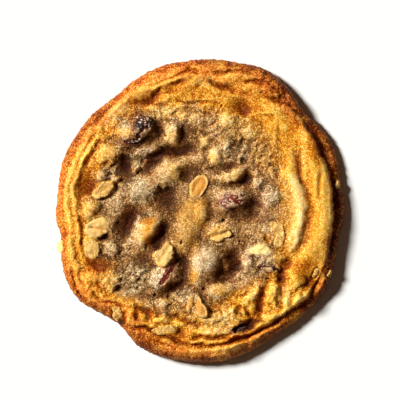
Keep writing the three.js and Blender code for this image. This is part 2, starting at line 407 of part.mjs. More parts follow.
// Height of the dough's top at a point.
function topHeight(x, y) {
  const radius = Math.hypot(x, y);
  const fromRim = Math.max(0, rimRadius(Math.atan2(y, x)) - radius);
  const outward = Math.max(0, 1 - fromRim / rimRollWidth);
  let z = rimHeight + (plateauHeight - rimHeight) * Math.sqrt(1 - outward * outward);
  z += centreRise * Math.exp(-((radius / centreRiseRadius) ** 4));
  for (const { size, halfWidth, ...line } of rolls) {
    const { distance, fade } = nearPath(x, y, line);
    z += size * fade * Math.exp(-((distance / halfWidth) ** 2));
  }
  for (const { size, halfWidth, ...line } of [...creases, ...valleys]) {
    const { distance, fade } = nearPath(x, y, line);
    z -= size * fade * Math.exp(-((distance / halfWidth) ** 1.6));
  }
  const body = THREE.MathUtils.clamp((z - thinnestRim) / (plateauHeight - thinnestRim), 0, 1);
  for (const { size, halfWidth, ...line } of ledges) {
    const { outward: beyond, fade } = nearPath(x, y, line);
    z -= size * fade * body * THREE.MathUtils.smoothstep(beyond, 0, halfWidth);
  }
  // lumps that overlap run into one another instead of adding up
  z += Math.cbrt(humps.reduce((sum, hump) => sum + (hump.size * dome(outlineReach(x, y, hump))) ** 3, 0));
  for (const pit of pits) z -= pit.size * bowl(outlineReach(x, y, pit));
  return z + crumb(x, y);
}

// ---- solids ----

const toSolid = (geometry) => {
  const bare = geometry.clone();
  bare.deleteAttribute('normal');
  bare.deleteAttribute('uv');
  const merged = mergeVertices(bare, 1e-4);
  return new wasm.Manifold(new wasm.Mesh({
    numProp: 3,
    vertProperties: merged.attributes.position.array,
    triVerts: new Uint32Array(merged.index.array),
  }));
};

const toGeometry = (solid) => {
  const { vertProperties, triVerts } = solid.getMesh();
  const geometry = new THREE.BufferGeometry();
  geometry.setAttribute('position', new THREE.BufferAttribute(vertProperties, 3));
  geometry.setIndex(new THREE.BufferAttribute(triVerts, 1));
  geometry.computeVertexNormals();
  return geometry;
};

// The largest body of a solid, without scraps that a cut left loose.
const largestBody = (solid) =>
  solid.decompose().reduce((best, body) => (body.volume() > best.volume() ? body : best));

// A ring of points at an inset from the outline; heightAt gives each point's z.
function ringAtInset(inset, heightAt) {
  const count = 6 * rimRings;
  return Array.from({ length: count }, (_, k) => {
    const angle = (2 * Math.PI * k) / count;
    const radius = rimRadius(angle) - inset;
    return [radius * Math.cos(angle), radius * Math.sin(angle), heightAt(angle)];
  });
}

// The dough: a top of concentric rings, a bulging side and a flat base.
function doughGeometry() {
  const points = [[0, 0, topHeight(0, 0)]];
  const faces = [];
  const ringStart = [0];
  for (let ring = 1; ring <= rimRings; ring++) {
    ringStart.push(points.length);
    for (let k = 0; k < 6 * ring; k++) {
      const angle = (2 * Math.PI * k) / (6 * ring);
      const radius = ((rimRadius(angle) - edgeInset) * ring) / rimRings;
      const x = radius * Math.cos(angle);
      const y = radius * Math.sin(angle);
      points.push([x, y, topHeight(x, y)]);
    }
  }
  for (let ring = 1; ring <= rimRings; ring++) {
    const outer = (k) => ringStart[ring] + (k % (6 * ring));
    const inner = (k) => (ring === 1 ? 0 : ringStart[ring - 1] + (k % (6 * (ring - 1))));
    for (let sector = 0; sector < 6; sector++) {
      for (let k = 0; k < ring; k++) {
        const o = sector * ring + k;
        const i = sector * (ring - 1) + k;
        faces.push([outer(o), outer(o + 1), inner(i)]);
        if (k < ring - 1) faces.push([inner(i), outer(o + 1), inner(i + 1)]);
      }
    }
  }
  let above = ringStart[rimRings];
  const count = 6 * rimRings;
  const rimTop = (angle) => {
    const radius = rimRadius(angle) - edgeInset;
    return topHeight(radius * Math.cos(angle), radius * Math.sin(angle));
  };
  for (const { inset, share } of edgeRings) {
    const below = points.length;
    points.push(...ringAtInset(inset, (angle) => share * rimTop(angle)));
    for (let k = 0; k < count; k++) {
      const next = (k + 1) % count;
      faces.push([above + k, below + k, below + next], [above + k, below + next, above + next]);
    }
    above = below;
  }
  const baseCentre = points.length;
  points.push([0, 0, 0]);
  for (let k = 0; k < count; k++) faces.push([above + ((k + 1) % count), above + k, baseCentre]);

  const geometry = new THREE.BufferGeometry();
  geometry.setAttribute('position', new THREE.Float32BufferAttribute(points.flat(), 3));
  geometry.setIndex(faces.flat());
  return geometry;
}

// How the dough slopes at a point: the turn that lays +Z on its normal.
function layOnDough(x, y) {
  const reach = 2.5;
  const slopeX = (topHeight(x + reach, y) - topHeight(x - reach, y)) / (2 * reach);
  const slopeY = (topHeight(x, y + reach) - topHeight(x, y - reach)) / (2 * reach);
  const normal = new THREE.Vector3(-slopeX, -slopeY, 1).normalize();
  return new THREE.Quaternion().setFromUnitVectors(new THREE.Vector3(0, 0, 1), normal);
}

// A rolled oat: a flat flake with a rounded edge, lying on the dough.
function oatGeometry({ centre: [cx, cy], proud, edge }) {
  const geometry = new THREE.IcosahedronGeometry(1, 2);
  const polar = polarOf(edge, [cx, cy]);
  const points = geometry.attributes.position;
  for (let k = 0; k < points.count; k++) {
    const angle = Math.atan2(points.getY(k), points.getX(k));
    const radius = Math.hypot(points.getX(k), points.getY(k)) * closedRadius(polar, angle);
    const z = Math.sign(points.getZ(k)) * Math.abs(points.getZ(k)) ** 0.7 * (oatThickness / 2);
    points.setXYZ(k, radius * Math.cos(angle), radius * Math.sin(angle), z);
  }
  geometry.applyQuaternion(layOnDough(cx, cy));
  geometry.translate(cx, cy, topHeight(cx, cy) + proud - oatThickness / 2);
  return geometry;
}

// A raisin: an oval with lengthwise creases that fade towards its ends.
function raisinGeometry({ x, y, length, width, height, turn, proud }, grow = 0) {
  const geometry = new THREE.IcosahedronGeometry(1, 3);
  const points = geometry.attributes.position;
  const p = new THREE.Vector3();
  for (let k = 0; k < points.count; k++) {
    p.fromBufferAttribute(points, k);
    const round = Math.atan2(p.z, p.y);
    const crease = Math.sin(wrinkleTurns * round + 2.5 * Math.sin(3 * p.x + x)) * (1 - p.x * p.x);
    p.multiplyScalar(1 - wrinkleDepth * (0.5 - 0.5 * crease));
    points.setXYZ(k, p.x, p.y, p.z);
  }
  geometry.scale(length / 2 + grow, width / 2 + grow, height / 2 + grow);
  geometry.rotateZ(THREE.MathUtils.degToRad(turn));
  geometry.translate(x, y, topHeight(x, y) + proud - height / 2);
  return geometry;
}

// ---- the cookie ----

function cookieGeometry() {
  let solid = toSolid(doughGeometry());
  for (const oat of oats) solid = solid.add(toSolid(oatGeometry(oat)));
  for (const raisin of raisins) solid = solid.subtract(toSolid(raisinGeometry(raisin, raisinGap)));
  return toGeometry(largestBody(solid));
}

const cookie = new THREE.Group();

const dough = new THREE.Mesh(cookieGeometry(), doughMaterial);
dough.name = 'cookie';
cookie.add(dough);

raisins.forEach((raisin, index) => {
  const mesh = new THREE.Mesh(toGeometry(toSolid(raisinGeometry(raisin))), raisinMaterial);
  mesh.name = `raisin_${index + 1}`;
  cookie.add(mesh);
});

export default cookie;
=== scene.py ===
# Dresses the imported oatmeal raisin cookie: crinkled dough, rolled oats and five raisins.
import bpy
import bmesh
import math
import numpy as np
from mathutils import Euler, Matrix, Vector, noise


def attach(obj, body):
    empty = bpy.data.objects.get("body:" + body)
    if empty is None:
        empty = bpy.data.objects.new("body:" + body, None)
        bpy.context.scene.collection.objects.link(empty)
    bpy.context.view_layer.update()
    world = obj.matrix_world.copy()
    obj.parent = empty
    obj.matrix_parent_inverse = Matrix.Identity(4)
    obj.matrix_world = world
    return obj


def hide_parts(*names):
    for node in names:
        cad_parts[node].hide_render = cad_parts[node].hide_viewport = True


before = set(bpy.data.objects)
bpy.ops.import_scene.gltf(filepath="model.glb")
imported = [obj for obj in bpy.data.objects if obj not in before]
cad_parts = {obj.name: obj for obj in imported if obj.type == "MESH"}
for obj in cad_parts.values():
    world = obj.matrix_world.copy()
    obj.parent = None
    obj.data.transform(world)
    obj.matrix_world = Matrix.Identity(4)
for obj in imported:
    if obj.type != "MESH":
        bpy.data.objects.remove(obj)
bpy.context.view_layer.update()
print("frame loaded:", ", ".join(sorted(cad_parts)))

mm = 0.001      # shapes are worked out in millimetres and written to the meshes in metres
farOff = 1e3    # further than anything on the cookie


# the dough: its base form, then what stands on it and what is cut into it, then what it is coloured by
dough = {
    "plateau": 8.2,         # the flat of the cookie, before its folds and lumps
    "centreRise": 1.2,      # how much thicker the middle stays
    "centreRiseRadius": 38,
    "rimHeight": 3.4,       # where the top meets the edge
    "rimRollWidth": 6.5,    # the quarter-round the top falls through towards the rim
    "thinnestRim": 2.4,     # a ledge never cuts the edge below this
    "edgeInset": 1.3,       # how far the top surface ends inside the outline
    "creaseTaper": 4.0,     # length over which each end of a crease fades out
    "valleyTaper": 7.0,     # the same for valleys and rolls
    "ledgeTaper": 14.0,
    "creaseLips": 0.3,      # how high a crease's lips stand, as a share of its depth
    "creasePaintedShade": 1.6,    # how much more painted shade a crease gets than a valley as deep, and below it a hole
    "holePaintedShade": 1.5,
    "wander": [(6.0, 0.5), (2.2, 0.25)],  # how far every line and lump strays: spacing, reach
    "rings": 168,           # rings of the top's triangle grid, about 0.35 mm apart
    # the bulging side and the underside: inset from the outline, share of the edge's height
    "side": [
        (0.8, 0.88), (0.3, 0.7), (0.04, 0.52), (0.0, 0.36), (0.15, 0.18), (0.6, 0.05), (1.3, 0.0),
        (4.0, 0.0), (12.0, 0.0),
    ],
    "undersideStep": 5,     # from this step of the side on, the dough is as toasted as the underside
    "undersideToast": 0.8,
    "outline": [
        (57.85, 0), (56.5, 10), (55, 20), (51.5, 29), (45.5, 36), (42, 39), (39, 43.5), (34, 50.5),
        (25, 57), (15, 59.2), (5, 60.6), (-5, 59.9), (-15, 58), (-25, 53), (-35, 44.8), (-42.5, 39),
        (-49, 31), (-54.8, 20), (-57, 5), (-57.8, -2), (-55.8, -10), (-55.5, -20), (-52.5, -30), (-47, -37),
        (-38, -42), (-31, -47), (-25, -54), (-15, -58.7), (0, -60.6), (10, -60), (20, -56.5), (30, -50),
        (40, -43), (50, -32), (53.5, -22), (55.8, -10),
    ],
    # rolls of dough that run round the spread edge: height, half width, points
    "rolls": [
        (1.2, 2.6, (33.5, 21), (36.5, 14), (39, 7), (40.3, 0), (39.5, -6), (37.5, -11.5), (34.5, -16.5)),
        (1.2, 3.4, (40, 36), (43.5, 27), (45.3, 18), (47.5, 7), (49, 0), (48.3, -7), (46, -14), (42, -20),
         (38.5, -26), (35.5, -33)),
        (0.65, 1.5, (-43.5, 30.5), (-47, 23), (-50.5, 16), (-52.3, 9), (-53, 3), (-52.3, -3), (-51.3, -9),
         (-51.8, -15), (-50.5, -21), (-48, -26)),
        (0.8, 1.6, (-40, 30.5), (-43.8, 24.5), (-47, 18.5), (-49.8, 13.5), (-50.8, 8), (-50.3, 3),
         (-49.2, -3), (-48.3, -10), (-48.5, -16)),
        (1.3, 1.6, (-38, 36.5), (-33.5, 41.8), (-28.5, 45), (-22.5, 47.8), (-18, 49.8), (-13, 51.4),
         (-8, 53), (-3, 54)),
        (0.6, 2.4, (-36, 38), (-31, 40.5), (-28, 40)),
        (0.8, 2.6, (-10, 47.5), (-3, 51.5), (1, 50.5)),
        (0.7, 1.5, (-16, 43.8), (-12, 45.5), (-6, 45.2)),
        (0.9, 1.8, (4.5, 52.4), (10, 52.4), (15, 52.8), (20, 53.4)),
        (0.8, 1.8, (13, 50), (19, 49.5), (24, 48.6), (28.5, 46.5)),
        (0.5, 2.4, (-8, 57.3), (0, 58.4), (8, 58), (16, 57.4), (23, 56)),
        (0.8, 1.4, (33.8, 47), (37, 43), (40.5, 38.5)),
        (0.9, 2.6, (23, 42), (29, 40.3), (36, 39.3)),
        (0.6, 3.0, (24, 34.5), (31, 34), (37, 33)),
        (1.3, 2.6, (29.7, -28), (29.2, -33), (28.5, -39)),
        (1.1, 2.0, (24.6, -26.5), (23.2, -31.5), (19.5, -35.5), (14, -38)),
        (0.9, 1.5, (21.8, -37), (21.3, -42)),
        (1.0, 1.7, (35, -34), (33.5, -39)),
        (1.0, 1.6, (41, -34), (37.5, -37.7)),
        (0.9, 1.4, (31, -41.6), (25.5, -44.8)),
        (1.3, 2.6, (-2, -44.2), (6, -43), (13, -41.4), (19, -39.6)),
        (1.0, 2.0, (-3, -48), (4, -48.6), (11, -47.4)),
        (1.3, 1.5, (4, -56), (13, -54.4), (20, -53), (27, -49), (32, -45.7), (37.5, -42.5)),
        (1.4, 1.3, (51.5, -25.5), (49.2, -30), (46.2, -34.8)),
        (0.9, 2.8, (-27, -49.5), (-19, -52.8), (-11, -55.7), (-3, -57.3), (5, -57.6)),
        (1.0, 2.1, (-28, -37.5), (-27, -41), (-27, -45)),
        (0.9, 1.6, (-23.5, -40.5), (-22, -44.5)),
        (0.7, 1.8, (-47, -27), (-44, -31.5), (-40.5, -35)),
        (0.7, 2.0, (-54, -21), (-51.3, -29), (-47.5, -35.5), (-42, -39)),
        (0.8, 1.3, (-5.5, 20.8), (-2, 20.8), (2.5, 20.6)),
        (0.7, 0.6, (15.2, 19.4), (15.5, 21.2), (17.2, 22.4), (19.4, 22.2)),
    ],
    # creases between the rolls: depth, half width, points
    "creases": [
        (0.5, 0.9, (39.3, 24), (40, 18), (40.8, 12), (42.6, 7.5), (44.5, 3), (46.5, -2.7)),
        (0.5, 1.3, (38.3, 25), (38.8, 20), (39.5, 14), (41, 9)),
        (0.55, 1.2, (44.6, 2), (43.2, -2.5), (42.3, -7), (41.6, -11.5), (39.8, -15.5), (37.3, -19.5)),
        (0.5, 0.8, (48.8, 17), (47.7, 11.5), (47.6, 7), (48.5, 3)),
        (0.3, 0.9, (32.5, 36), (31.5, 30.5), (33, 25)),
        (0.4, 0.9, (36.5, -13.5), (37.8, -9.5)),
        (1.2, 0.8, (-43.5, 33), (-40.5, 36.7), (-37.5, 39.3), (-35.5, 41), (-32.3, 44)),
        (0.4, 0.6, (-47.5, 29), (-51.3, 20.5), (-53.8, 12), (-54.8, 4), (-54.5, -4), (-53.3, -10),
         (-53.3, -17)),
        (0.6, 0.7, (-41.5, 31), (-45.3, 25), (-48.2, 19.5), (-50.8, 13.5), (-51.8, 7), (-51.4, 0)),
        (0.55, 0.9, (-38.8, 29.5), (-41.8, 25), (-44, 20.5), (-47, 16)),
        (0.6, 0.8, (-48.6, 0), (-47, -4), (-46.8, -9), (-46.9, -14), (-45.6, -18), (-43, -21),
         (-39.5, -23.6)),
        (0.4, 0.7, (-50.5, -8), (-49.8, -14), (-49, -19), (-47, -23)),
        (0.8, 0.6, (-21.5, 49), (-18, 50.5), (-14, 51.9), (-9.5, 53.5), (-6, 55)),
        (0.9, 0.9, (-19.5, 42.6), (-15.5, 42.1), (-11.5, 42.4)),
        (0.4, 0.6, (-14, 47), (-10.5, 47.6)),
        (0.6, 0.6, (-10.5, 43.6), (-5, 43.1), (0, 43.3), (5, 43), (9.5, 41.7)),
        (1.2, 0.7, (4, 54.7), (9, 55), (13, 55.5), (18, 55.5), (22.5, 54.7)),
        (1.3, 1.0, (2.5, 53.6), (5.3, 50.9), (8.5, 49.4), (12, 48.6), (16, 47.6)),
        (0.5, 0.9, (15.5, 47.2), (18, 46.7), (21, 47)),
        (0.8, 0.7, (17, 51.3), (20, 51.8), (22.5, 51)),
        (0.5, 0.5, (25, 38.7), (27.5, 38.2), (30, 37.4)),
        (1.0, 0.8, (33, 48.5), (35.5, 44), (38.3, 40.3), (40.5, 37)),
        (0.3, 1.2, (22, 37.5), (25, 33.5), (26, 29.5)),
        (1.0, 0.6, (-51, -21), (-50.8, -26), (-49.3, -30.5), (-47.3, -34), (-43.5, -37.8)),
        (0.8, 0.6, (-49.5, -24), (-47.5, -27.5), (-45.3, -30.5)),
        (0.9, 0.7, (-43.8, -31), (-42.3, -33.5), (-39.8, -36), (-36, -36.5), (-32.5, -37.7), (-30, -39.5)),
        (1.3, 1.0, (-28, -36.3), (-24.5, -38.7), (-21, -40.5), (-18, -41.7)),
        (1.0, 0.8, (-30.2, -39), (-29.7, -42.5), (-29.5, -46)),
        (0.8, 0.7, (-25.2, -39.5), (-24.6, -42.5), (-25, -46)),
        (1.7, 0.8, (-32, -45), (-27, -46.7), (-22, -46.9), (-18.5, -48.3), (-15, -50), (-11, -51.4),
         (-7, -53), (-2, -54), (3, -54.5), (8, -53.9), (13, -52.6), (18, -50.8), (23, -48.4), (28, -45.4)),
        (1.0, 0.9, (-14, -41.5), (-10, -42.3), (-6.5, -43.8), (-3, -45.6), (1, -46.4)),
        (0.7, 0.7, (-20, -45), (-15, -45.3), (-10.5, -45.4)),
        (1.1, 0.8, (-5, -51.5), (0, -50.4), (5, -51), (10, -50.3), (13.5, -49.3)),
        (0.6, 0.6, (-20, -51), (-13, -53.8), (-6, -55.2), (2, -55.9), (7, -57.5)),
        (0.9, 1.2, (26.8, -25.5), (25.8, -31), (24.3, -35), (24, -38.5), (24.6, -43)),
        (0.8, 1.2, (32.9, -25.5), (32.7, -31), (32.2, -35.5), (33, -40.5)),
        (0.9, 0.8, (18.3, -38), (19.3, -41), (20.8, -44)),
        (0.7, 0.6, (14, -34.5), (17.5, -34), (20.5, -31.5)),
        (0.5, 0.5, (35.5, -34), (38, -33.2), (40, -31)),
        (0.45, 1.0, (3.7, 4), (4.6, 0), (4, -5), (1.3, -9.5)),
        (0.4, 0.8, (1, 16.4), (5, 16.6), (9, 17.3)),
        (0.7, 0.35, (4.2, -10.9), (5.8, -10), (7.2, -9), (9, -8.7), (11.3, -9.5)),
        (0.7, 0.3, (5.6, -8.2), (7, -9.2), (7.4, -11)),
    ],
    # the drop and its shadowed foot where the thick dough ends above the browned edge:
    # drop, width of the fall, points
    "ledges": [
        (3.0, 1.7, (37.5, 41), (41, 34), (45, 26.5), (48, 20.5), (50.4, 15), (51.8, 8), (52.1, 0),
         (51.7, -9), (50.2, -17), (48.5, -24)),
        (2.2, 1.5, (51.4, -17), (47.2, -25.5), (43.8, -31.4), (39.5, -36.4), (35, -39.4), (30, -42.8),
         (25, -46), (19.5, -48.5), (14, -49.6), (7, -50.6)),
        (0.7, 1.0, (-33, 43.8), (-42, 35), (-47, 27.5)),
    ],
    # wide valleys between the lumps of the middle: depth, half width, points
    "valleys": [
        (1.8, 2.7, (-21.5, 16.5), (-19, 19.5), (-15, 22.4), (-9.5, 23.6), (-4, 24.2), (0, 25.5)),
        (1.5, 3.0, (-21, 2), (-25.6, -0.4), (-28.4, -5.5), (-30.5, -13.5)),
        (1.5, 2.9, (-12.8, -4), (-14.2, -8.5), (-17.5, -12.3), (-22.5, -16.5)),
        (1.4, 1.8, (-10, -18), (-6.4, -20.5), (-5.4, -25), (-7.5, -29.5), (-12.5, -32), (-18, -34)),
        (2.1, 3.1, (10.5, -14.5), (12.8, -19), (12.6, -24), (8.5, -27.3), (4.5, -28.5)),
        (1.0, 1.8, (9, -1.5), (14, -2.6), (20, -2.6), (24, -2)),
        (1.3, 2.0, (31, -22.5), (33, -26.5), (33, -31)),
        (1.5, 1.6, (15, -44.8), (20, -45.4), (26, -43.6)),
        (0.8, 2.0, (3, 16.2), (8, 17.2), (12, 18), (16, 18.3)),
        (1.1, 1.9, (12.5, 10.2), (17, 11), (20, 13.8), (20.6, 17.5)),
        (1.2, 2.4, (-29.5, 27), (-29.5, 22), (-29, 17.5), (-26, 15.5)),
        (1.0, 2.2, (-7, 37), (-6.5, 31), (-4, 26)),
    ],
    # the lumps of the middle: height, centre, then points round the edge
    "humps": [
        (2.2, (12.5, 13.7), (4.6, 13.4), (8, 14.6), (12, 15.4), (15.5, 17.6), (18.3, 18.2), (19, 15.8),
         (17, 12.9), (13, 11.4), (8, 11.2)),
        (2.0, (-17, 12.5), (-6, 20.5), (-10, 21.8), (-14, 21.3), (-18, 19.5), (-20.8, 16), (-25, 14.8),
         (-29, 12.5), (-30, 8.5), (-28, 4.3), (-24, 3), (-20, 5), (-16.5, 8.3), (-11.5, 10.3), (-7, 14.5)),
        (1.8, (-12.5, 16.5), (-17.5, 18.5), (-14, 21), (-10, 21.5), (-6.8, 20.3), (-6.5, 17), (-8.5, 13.5),
         (-11, 11.5), (-15, 11), (-18.5, 13.5)),
        (1.6, (-24.5, 8.5), (-28.3, 11.5), (-25, 13.5), (-21, 13.5), (-19.5, 10), (-20.5, 6), (-24, 3.8),
         (-28, 5.5)),
        (1.7, (-0.2, -0.6), (-1.7, 5), (1.6, 4.8), (3.3, 1.2), (3.1, -3.3), (1.2, -6.3), (-1.8, -5.8),
         (-3.3, -2), (-3.3, 2)),
        (1.7, (-3.5, -3), (1.5, 4.7), (3.4, 1), (3.3, -4), (1, -8), (-2.5, -12), (-6, -16.5), (-8.5, -18),
         (-10.5, -16.5), (-11.5, -12), (-11.5, -7), (-10.5, -2), (-9, 3), (-4.5, 5.5)),
        (2.8, (-20.8, -7.5), (-21.5, -0.9), (-18, -0.6), (-14.8, -2.2), (-14, -5.6), (-15.6, -9),
         (-19, -12.8), (-23.4, -15.4), (-27, -14.8), (-28, -11), (-26.4, -6.5), (-24.2, -3)),
        (2.9, (1.3, -20.5), (-3.6, -16.5), (-1, -13.6), (3, -12.4), (7, -13.6), (9.4, -17.5), (9, -22.5),
         (6.3, -26), (2, -28.4), (-1.5, -29.8), (-4.6, -28.6), (-5.6, -25), (-4.8, -20.5)),
        (1.8, (-14.4, -17.5), (-12.8, -12.3), (-10.6, -14), (-10.3, -17.5), (-12, -20.6), (-14.8, -22.8),
         (-17.3, -21.5), (-18.8, -18.8), (-16.5, -15.5)),
        (2.2, (-14.6, -26.4), (-19, -22.5), (-15, -21.3), (-10.5, -20), (-7.9, -22.3), (-8.2, -26.5),
         (-11.2, -30.2), (-15.5, -32.4), (-18.6, -32.3), (-20.3, -29), (-20.6, -25.5)),
        (2.2, (8.3, -9), (1, -7.5), (4, -4), (9, -3.5), (14, -5), (16.3, -9), (15, -13), (10, -15),
         (4, -14), (1, -11.5)),
        (3.0, (12.6, 4.8), (4.5, 8), (10, 10), (15, 10.5), (19.3, 8.8), (20.5, 5), (18.3, 1.3), (13, -0.4),
         (8, 0), (5, 3)),
        (1.7, (6.3, 21.8), (3.8, 24.8), (7, 25.8), (9.4, 24.3), (9.6, 21), (8.3, 18.3), (5, 17.8),
         (3.6, 20)),
        (2.9, (-26, 32), (-33.7, 31), (-31, 35.8), (-26, 38.7), (-20.5, 38.4), (-18, 34.8), (-18.4, 30),
         (-22, 26.5), (-27.5, 25.6), (-31.7, 27)),
        (1.8, (-11, 30), (-13.8, 27), (-13.7, 31), (-13, 35), (-9.5, 35.8), (-7.6, 32), (-8.5, 28),
         (-11, 25.6)),
        (1.6, (-20.5, 24.4), (-28, 24.3), (-24.5, 25.5), (-19.5, 27), (-15, 29.3), (-13.8, 26.5),
         (-17.5, 22.8), (-21.5, 20.8), (-26, 21)),
        (1.2, (-25.3, 17.3), (-28, 19), (-24, 20), (-22.3, 17), (-24, 14.7), (-27.7, 15)),
        (1.7, (7.7, -31.8), (2, -31.5), (4, -28.8), (8, -28), (12, -29), (13.4, -32), (10.5, -35), (5, -36),
         (2.3, -34)),
        (1.9, (-37, 23.2), (-40.5, 26), (-36, 26.8), (-32, 25.8), (-31, 22.3), (-33, 19), (-37, 18.8),
         (-41, 17.5), (-42.6, 19.5)),
        (1.8, (-39.3, 14), (-41.8, 14.5), (-39.5, 17), (-37, 15.5), (-37.2, 12.5), (-39.5, 11.3)),
        (1.4, (-33.7, 13), (-35.6, 13), (-33.5, 14.8), (-31.5, 13.3), (-33, 11.3)),
        (2.0, (-44, 0.3), (-47.7, 1.5), (-44.8, 4.6), (-41.5, 4.3), (-39.8, 1.5), (-41, -1.5),
         (-43.5, -4.3), (-46.5, -3.6), (-48.2, -1)),
        (1.4, (-39, 8), (-43.3, 6.6), (-40.5, 9.3), (-37, 12), (-34.4, 11.5), (-34, 8.5), (-36, 6),
         (-39.5, 4.6), (-42, 4.4)),
        (1.2, (-35.5, -15), (-38.7, -16), (-37.2, -12.6), (-34, -11.8), (-32.3, -14.5), (-33.3, -17.7),
         (-36.5, -18.5)),
        (1.4, (-35.8, -28.3), (-40, -26), (-37, -23.5), (-33.5, -24.3), (-30.8, -28), (-31.6, -31.7),
         (-36, -32.8), (-39.6, -30.7)),
        (1.4, (-43, -25.8), (-46.8, -25.5), (-43.5, -23.3), (-39.8, -24.5), (-40, -28), (-43.5, -29.5)),
        (1.4, (28.6, 5.8), (25.3, 7), (27.5, 9.8), (31, 8.8), (32.2, 5.5), (30.3, 2.2), (26.5, 2.5)),
        (1.0, (22.8, 11), (20.6, 11), (22.5, 14), (25.3, 12.5), (24.8, 9), (22, 8)),
        (1.1, (10.5, 35.6), (7, 35.2), (8.5, 38.5), (13, 38.2), (14.3, 35), (11, 32.8)),
        (1.0, (2, 27.3), (-0.3, 27.5), (2, 29.7), (4.4, 27.7), (2.5, 25)),
        (1.1, (-2, 36.3), (-5, 36), (-3, 39), (1.5, 38.5), (2.5, 35.5), (-1, 33.8)),
        (1.1, (19.3, 31), (15.5, 31), (18, 34), (22.5, 33), (23, 29.5), (19, 27.8)),
        (1.2, (28.5, -18.7), (22.5, -19.5), (25.5, -16.5), (31.5, -16.3), (34.3, -19), (32, -21.5),
         (26, -21.8)),
        (1.4, (-1, -38), (-5.5, -37), (-2.5, -33.3), (1, -35), (4, -41.5), (1, -43.3), (-5.5, -39.8)),
        (1.1, (-14.5, -37), (-18, -37), (-14, -34.6), (-10.5, -36.5), (-12.5, -39.7), (-16.5, -39.8)),
        (1.1, (19, -20), (16.3, -20), (18.5, -16.8), (21.6, -18.5), (21.6, -22.5), (18, -23.7)),
        (1.2, (-16, -44), (-19.5, -44), (-16.5, -42), (-12, -42.8), (-11.8, -45.3), (-16, -46)),
    ],
    # gouges and hollows with their own outline: depth, deepest point, then points round the edge
    "pits": [
        (1.3, (-29.8, -5), (-32, 1.6), (-28, 3.2), (-24, 1.2), (-25, -2.6), (-27.2, -7), (-29, -12),
         (-32, -14.5), (-34.6, -10), (-33.8, -3)),
        (1.3, (-18.6, 43.9), (-28, 43.2), (-24, 44.7), (-20.5, 46.2), (-17.8, 48.7), (-15.4, 49.3),
         (-15.5, 46.3), (-17.2, 43.2), (-20.5, 41.2), (-25, 41.2)),
        (0.9, (-7.3, 51), (-14.5, 50.6), (-11, 51.9), (-7.5, 52.7), (-5.1, 52.1), (-5.1, 50.2), (-8, 49.9),
         (-11, 50)),
        (1.5, (-3.6, 55.9), (-9.5, 54), (-6.5, 55.8), (-4, 58), (-2, 57), (0.5, 57), (2.2, 55.8), (0, 54.6),
         (-3, 54.5), (-6, 54.1)),
        (1.2, (23.6, 51.1), (19.5, 52), (21.5, 52.9), (24, 52.6), (26.2, 51.3), (25.8, 50), (23, 49.8),
         (21, 50.8)),
        (1.7, (31.8, 43.6), (25.8, 45), (28.5, 45.8), (31, 46.6), (33.5, 47.8), (34.8, 46), (35.8, 43.5),
         (37.5, 41.3), (34.5, 42), (31, 42.4), (28, 43.2)),
        (1.6, (17.2, 40.6), (11.3, 42), (13, 44.8), (16.5, 45.6), (20, 45), (22.4, 42.3), (22.3, 39.6),
         (20.5, 38), (17.5, 36.7), (15, 37.8), (12.2, 39.5)),
        (1.5, (-43.8, 7.7), (-50, 12.5), (-47, 16.3), (-43, 16.8), (-41.2, 13), (-41, 10), (-42.5, 7.3),
         (-46, 5), (-49.3, 3.6), (-50.5, 8)),
        (1.0, (-30.5, 17.5), (-34.3, 20), (-30, 23), (-26.6, 19.5), (-26.8, 15.5), (-30, 13.6),
         (-33.3, 15)),
        (1.7, (-38.6, -10.8), (-41.2, -11.6), (-40.5, -10.2), (-37, -9.2), (-35.6, -10.3), (-37.5, -12.3),
         (-40, -12.7)),
        (1.1, (-7.6, -49.5), (-12, -50.7), (-9.5, -48), (-7.5, -45.8), (-4.8, -46.3), (-4.8, -50),
         (-7, -52), (-10, -52)),
        (1.1, (-30.8, -44.8), (-33.7, -44.7), (-31.5, -42.1), (-29.3, -43), (-28.4, -46), (-30, -47),
         (-32, -46.4)),
        (1.2, (-32, -31.6), (-34.5, -32.3), (-33, -30.4), (-30.5, -30.6), (-30.3, -32.5), (-32.3, -33.2)),
        (1.6, (44.8, -28.5), (38.8, -32), (41.3, -28.6), (43.8, -24.6), (46.4, -22.4), (48, -26),
         (46.4, -32), (43, -33.8)),
        (1.1, (35.2, -20.8), (31.3, -22.5), (33.3, -19.3), (36.5, -17.6), (38.3, -19.3), (36.3, -23),
         (34, -25.8), (32, -25)),
        (1.0, (23.4, -40.8), (22.6, -37), (24.6, -37.5), (25.6, -42), (24, -45), (19.5, -45.6),
         (21.8, -43.4)),
        (1.7, (16.8, -47.6), (12.8, -48.5), (14, -46.3), (17, -45.2), (20, -45.6), (24, -46.6), (22, -49),
         (17, -49.8)),
        (1.0, (15.8, -39.8), (14, -39), (15.5, -37.7), (17.3, -39), (17, -42), (15.2, -42)),
        (1.0, (-15.2, 31.5), (-17.8, 30), (-17.5, 35.5), (-15, 37.5), (-13.9, 34), (-14.2, 29),
         (-15.5, 26.8)),
        (1.4, (-12.5, 6.3), (-19, 4.5), (-16.5, 8), (-11.5, 10), (-7.5, 8.3), (-8.5, 4), (-12, 0),
         (-17, 0.5)),
        (0.9, (-5.5, 14), (-8.5, 12.8), (-6.8, 17.8), (-3, 17.5), (-3.2, 12.5), (-6, 10.5)),
        (1.1, (21.5, 1), (18.8, 3.5), (20.3, 7), (24, 6), (25.5, 1.5), (23.5, -3.2), (18, -3), (16, -0.5)),
        (0.8, (13.5, 23.3), (10, 20.5), (9.8, 25.5), (13.5, 28), (17.5, 26), (15.8, 22.5), (14.5, 19.6)),
        (1.0, (17.4, 19.8), (15.7, 19.7), (16.5, 21.5), (19.2, 21.5), (19.5, 19), (17.5, 18.2)),
        (0.8, (26.7, -11), (25.2, -10.5), (27, -8.8), (28.3, -10.5), (27.7, -13.2), (25.8, -12.7)),
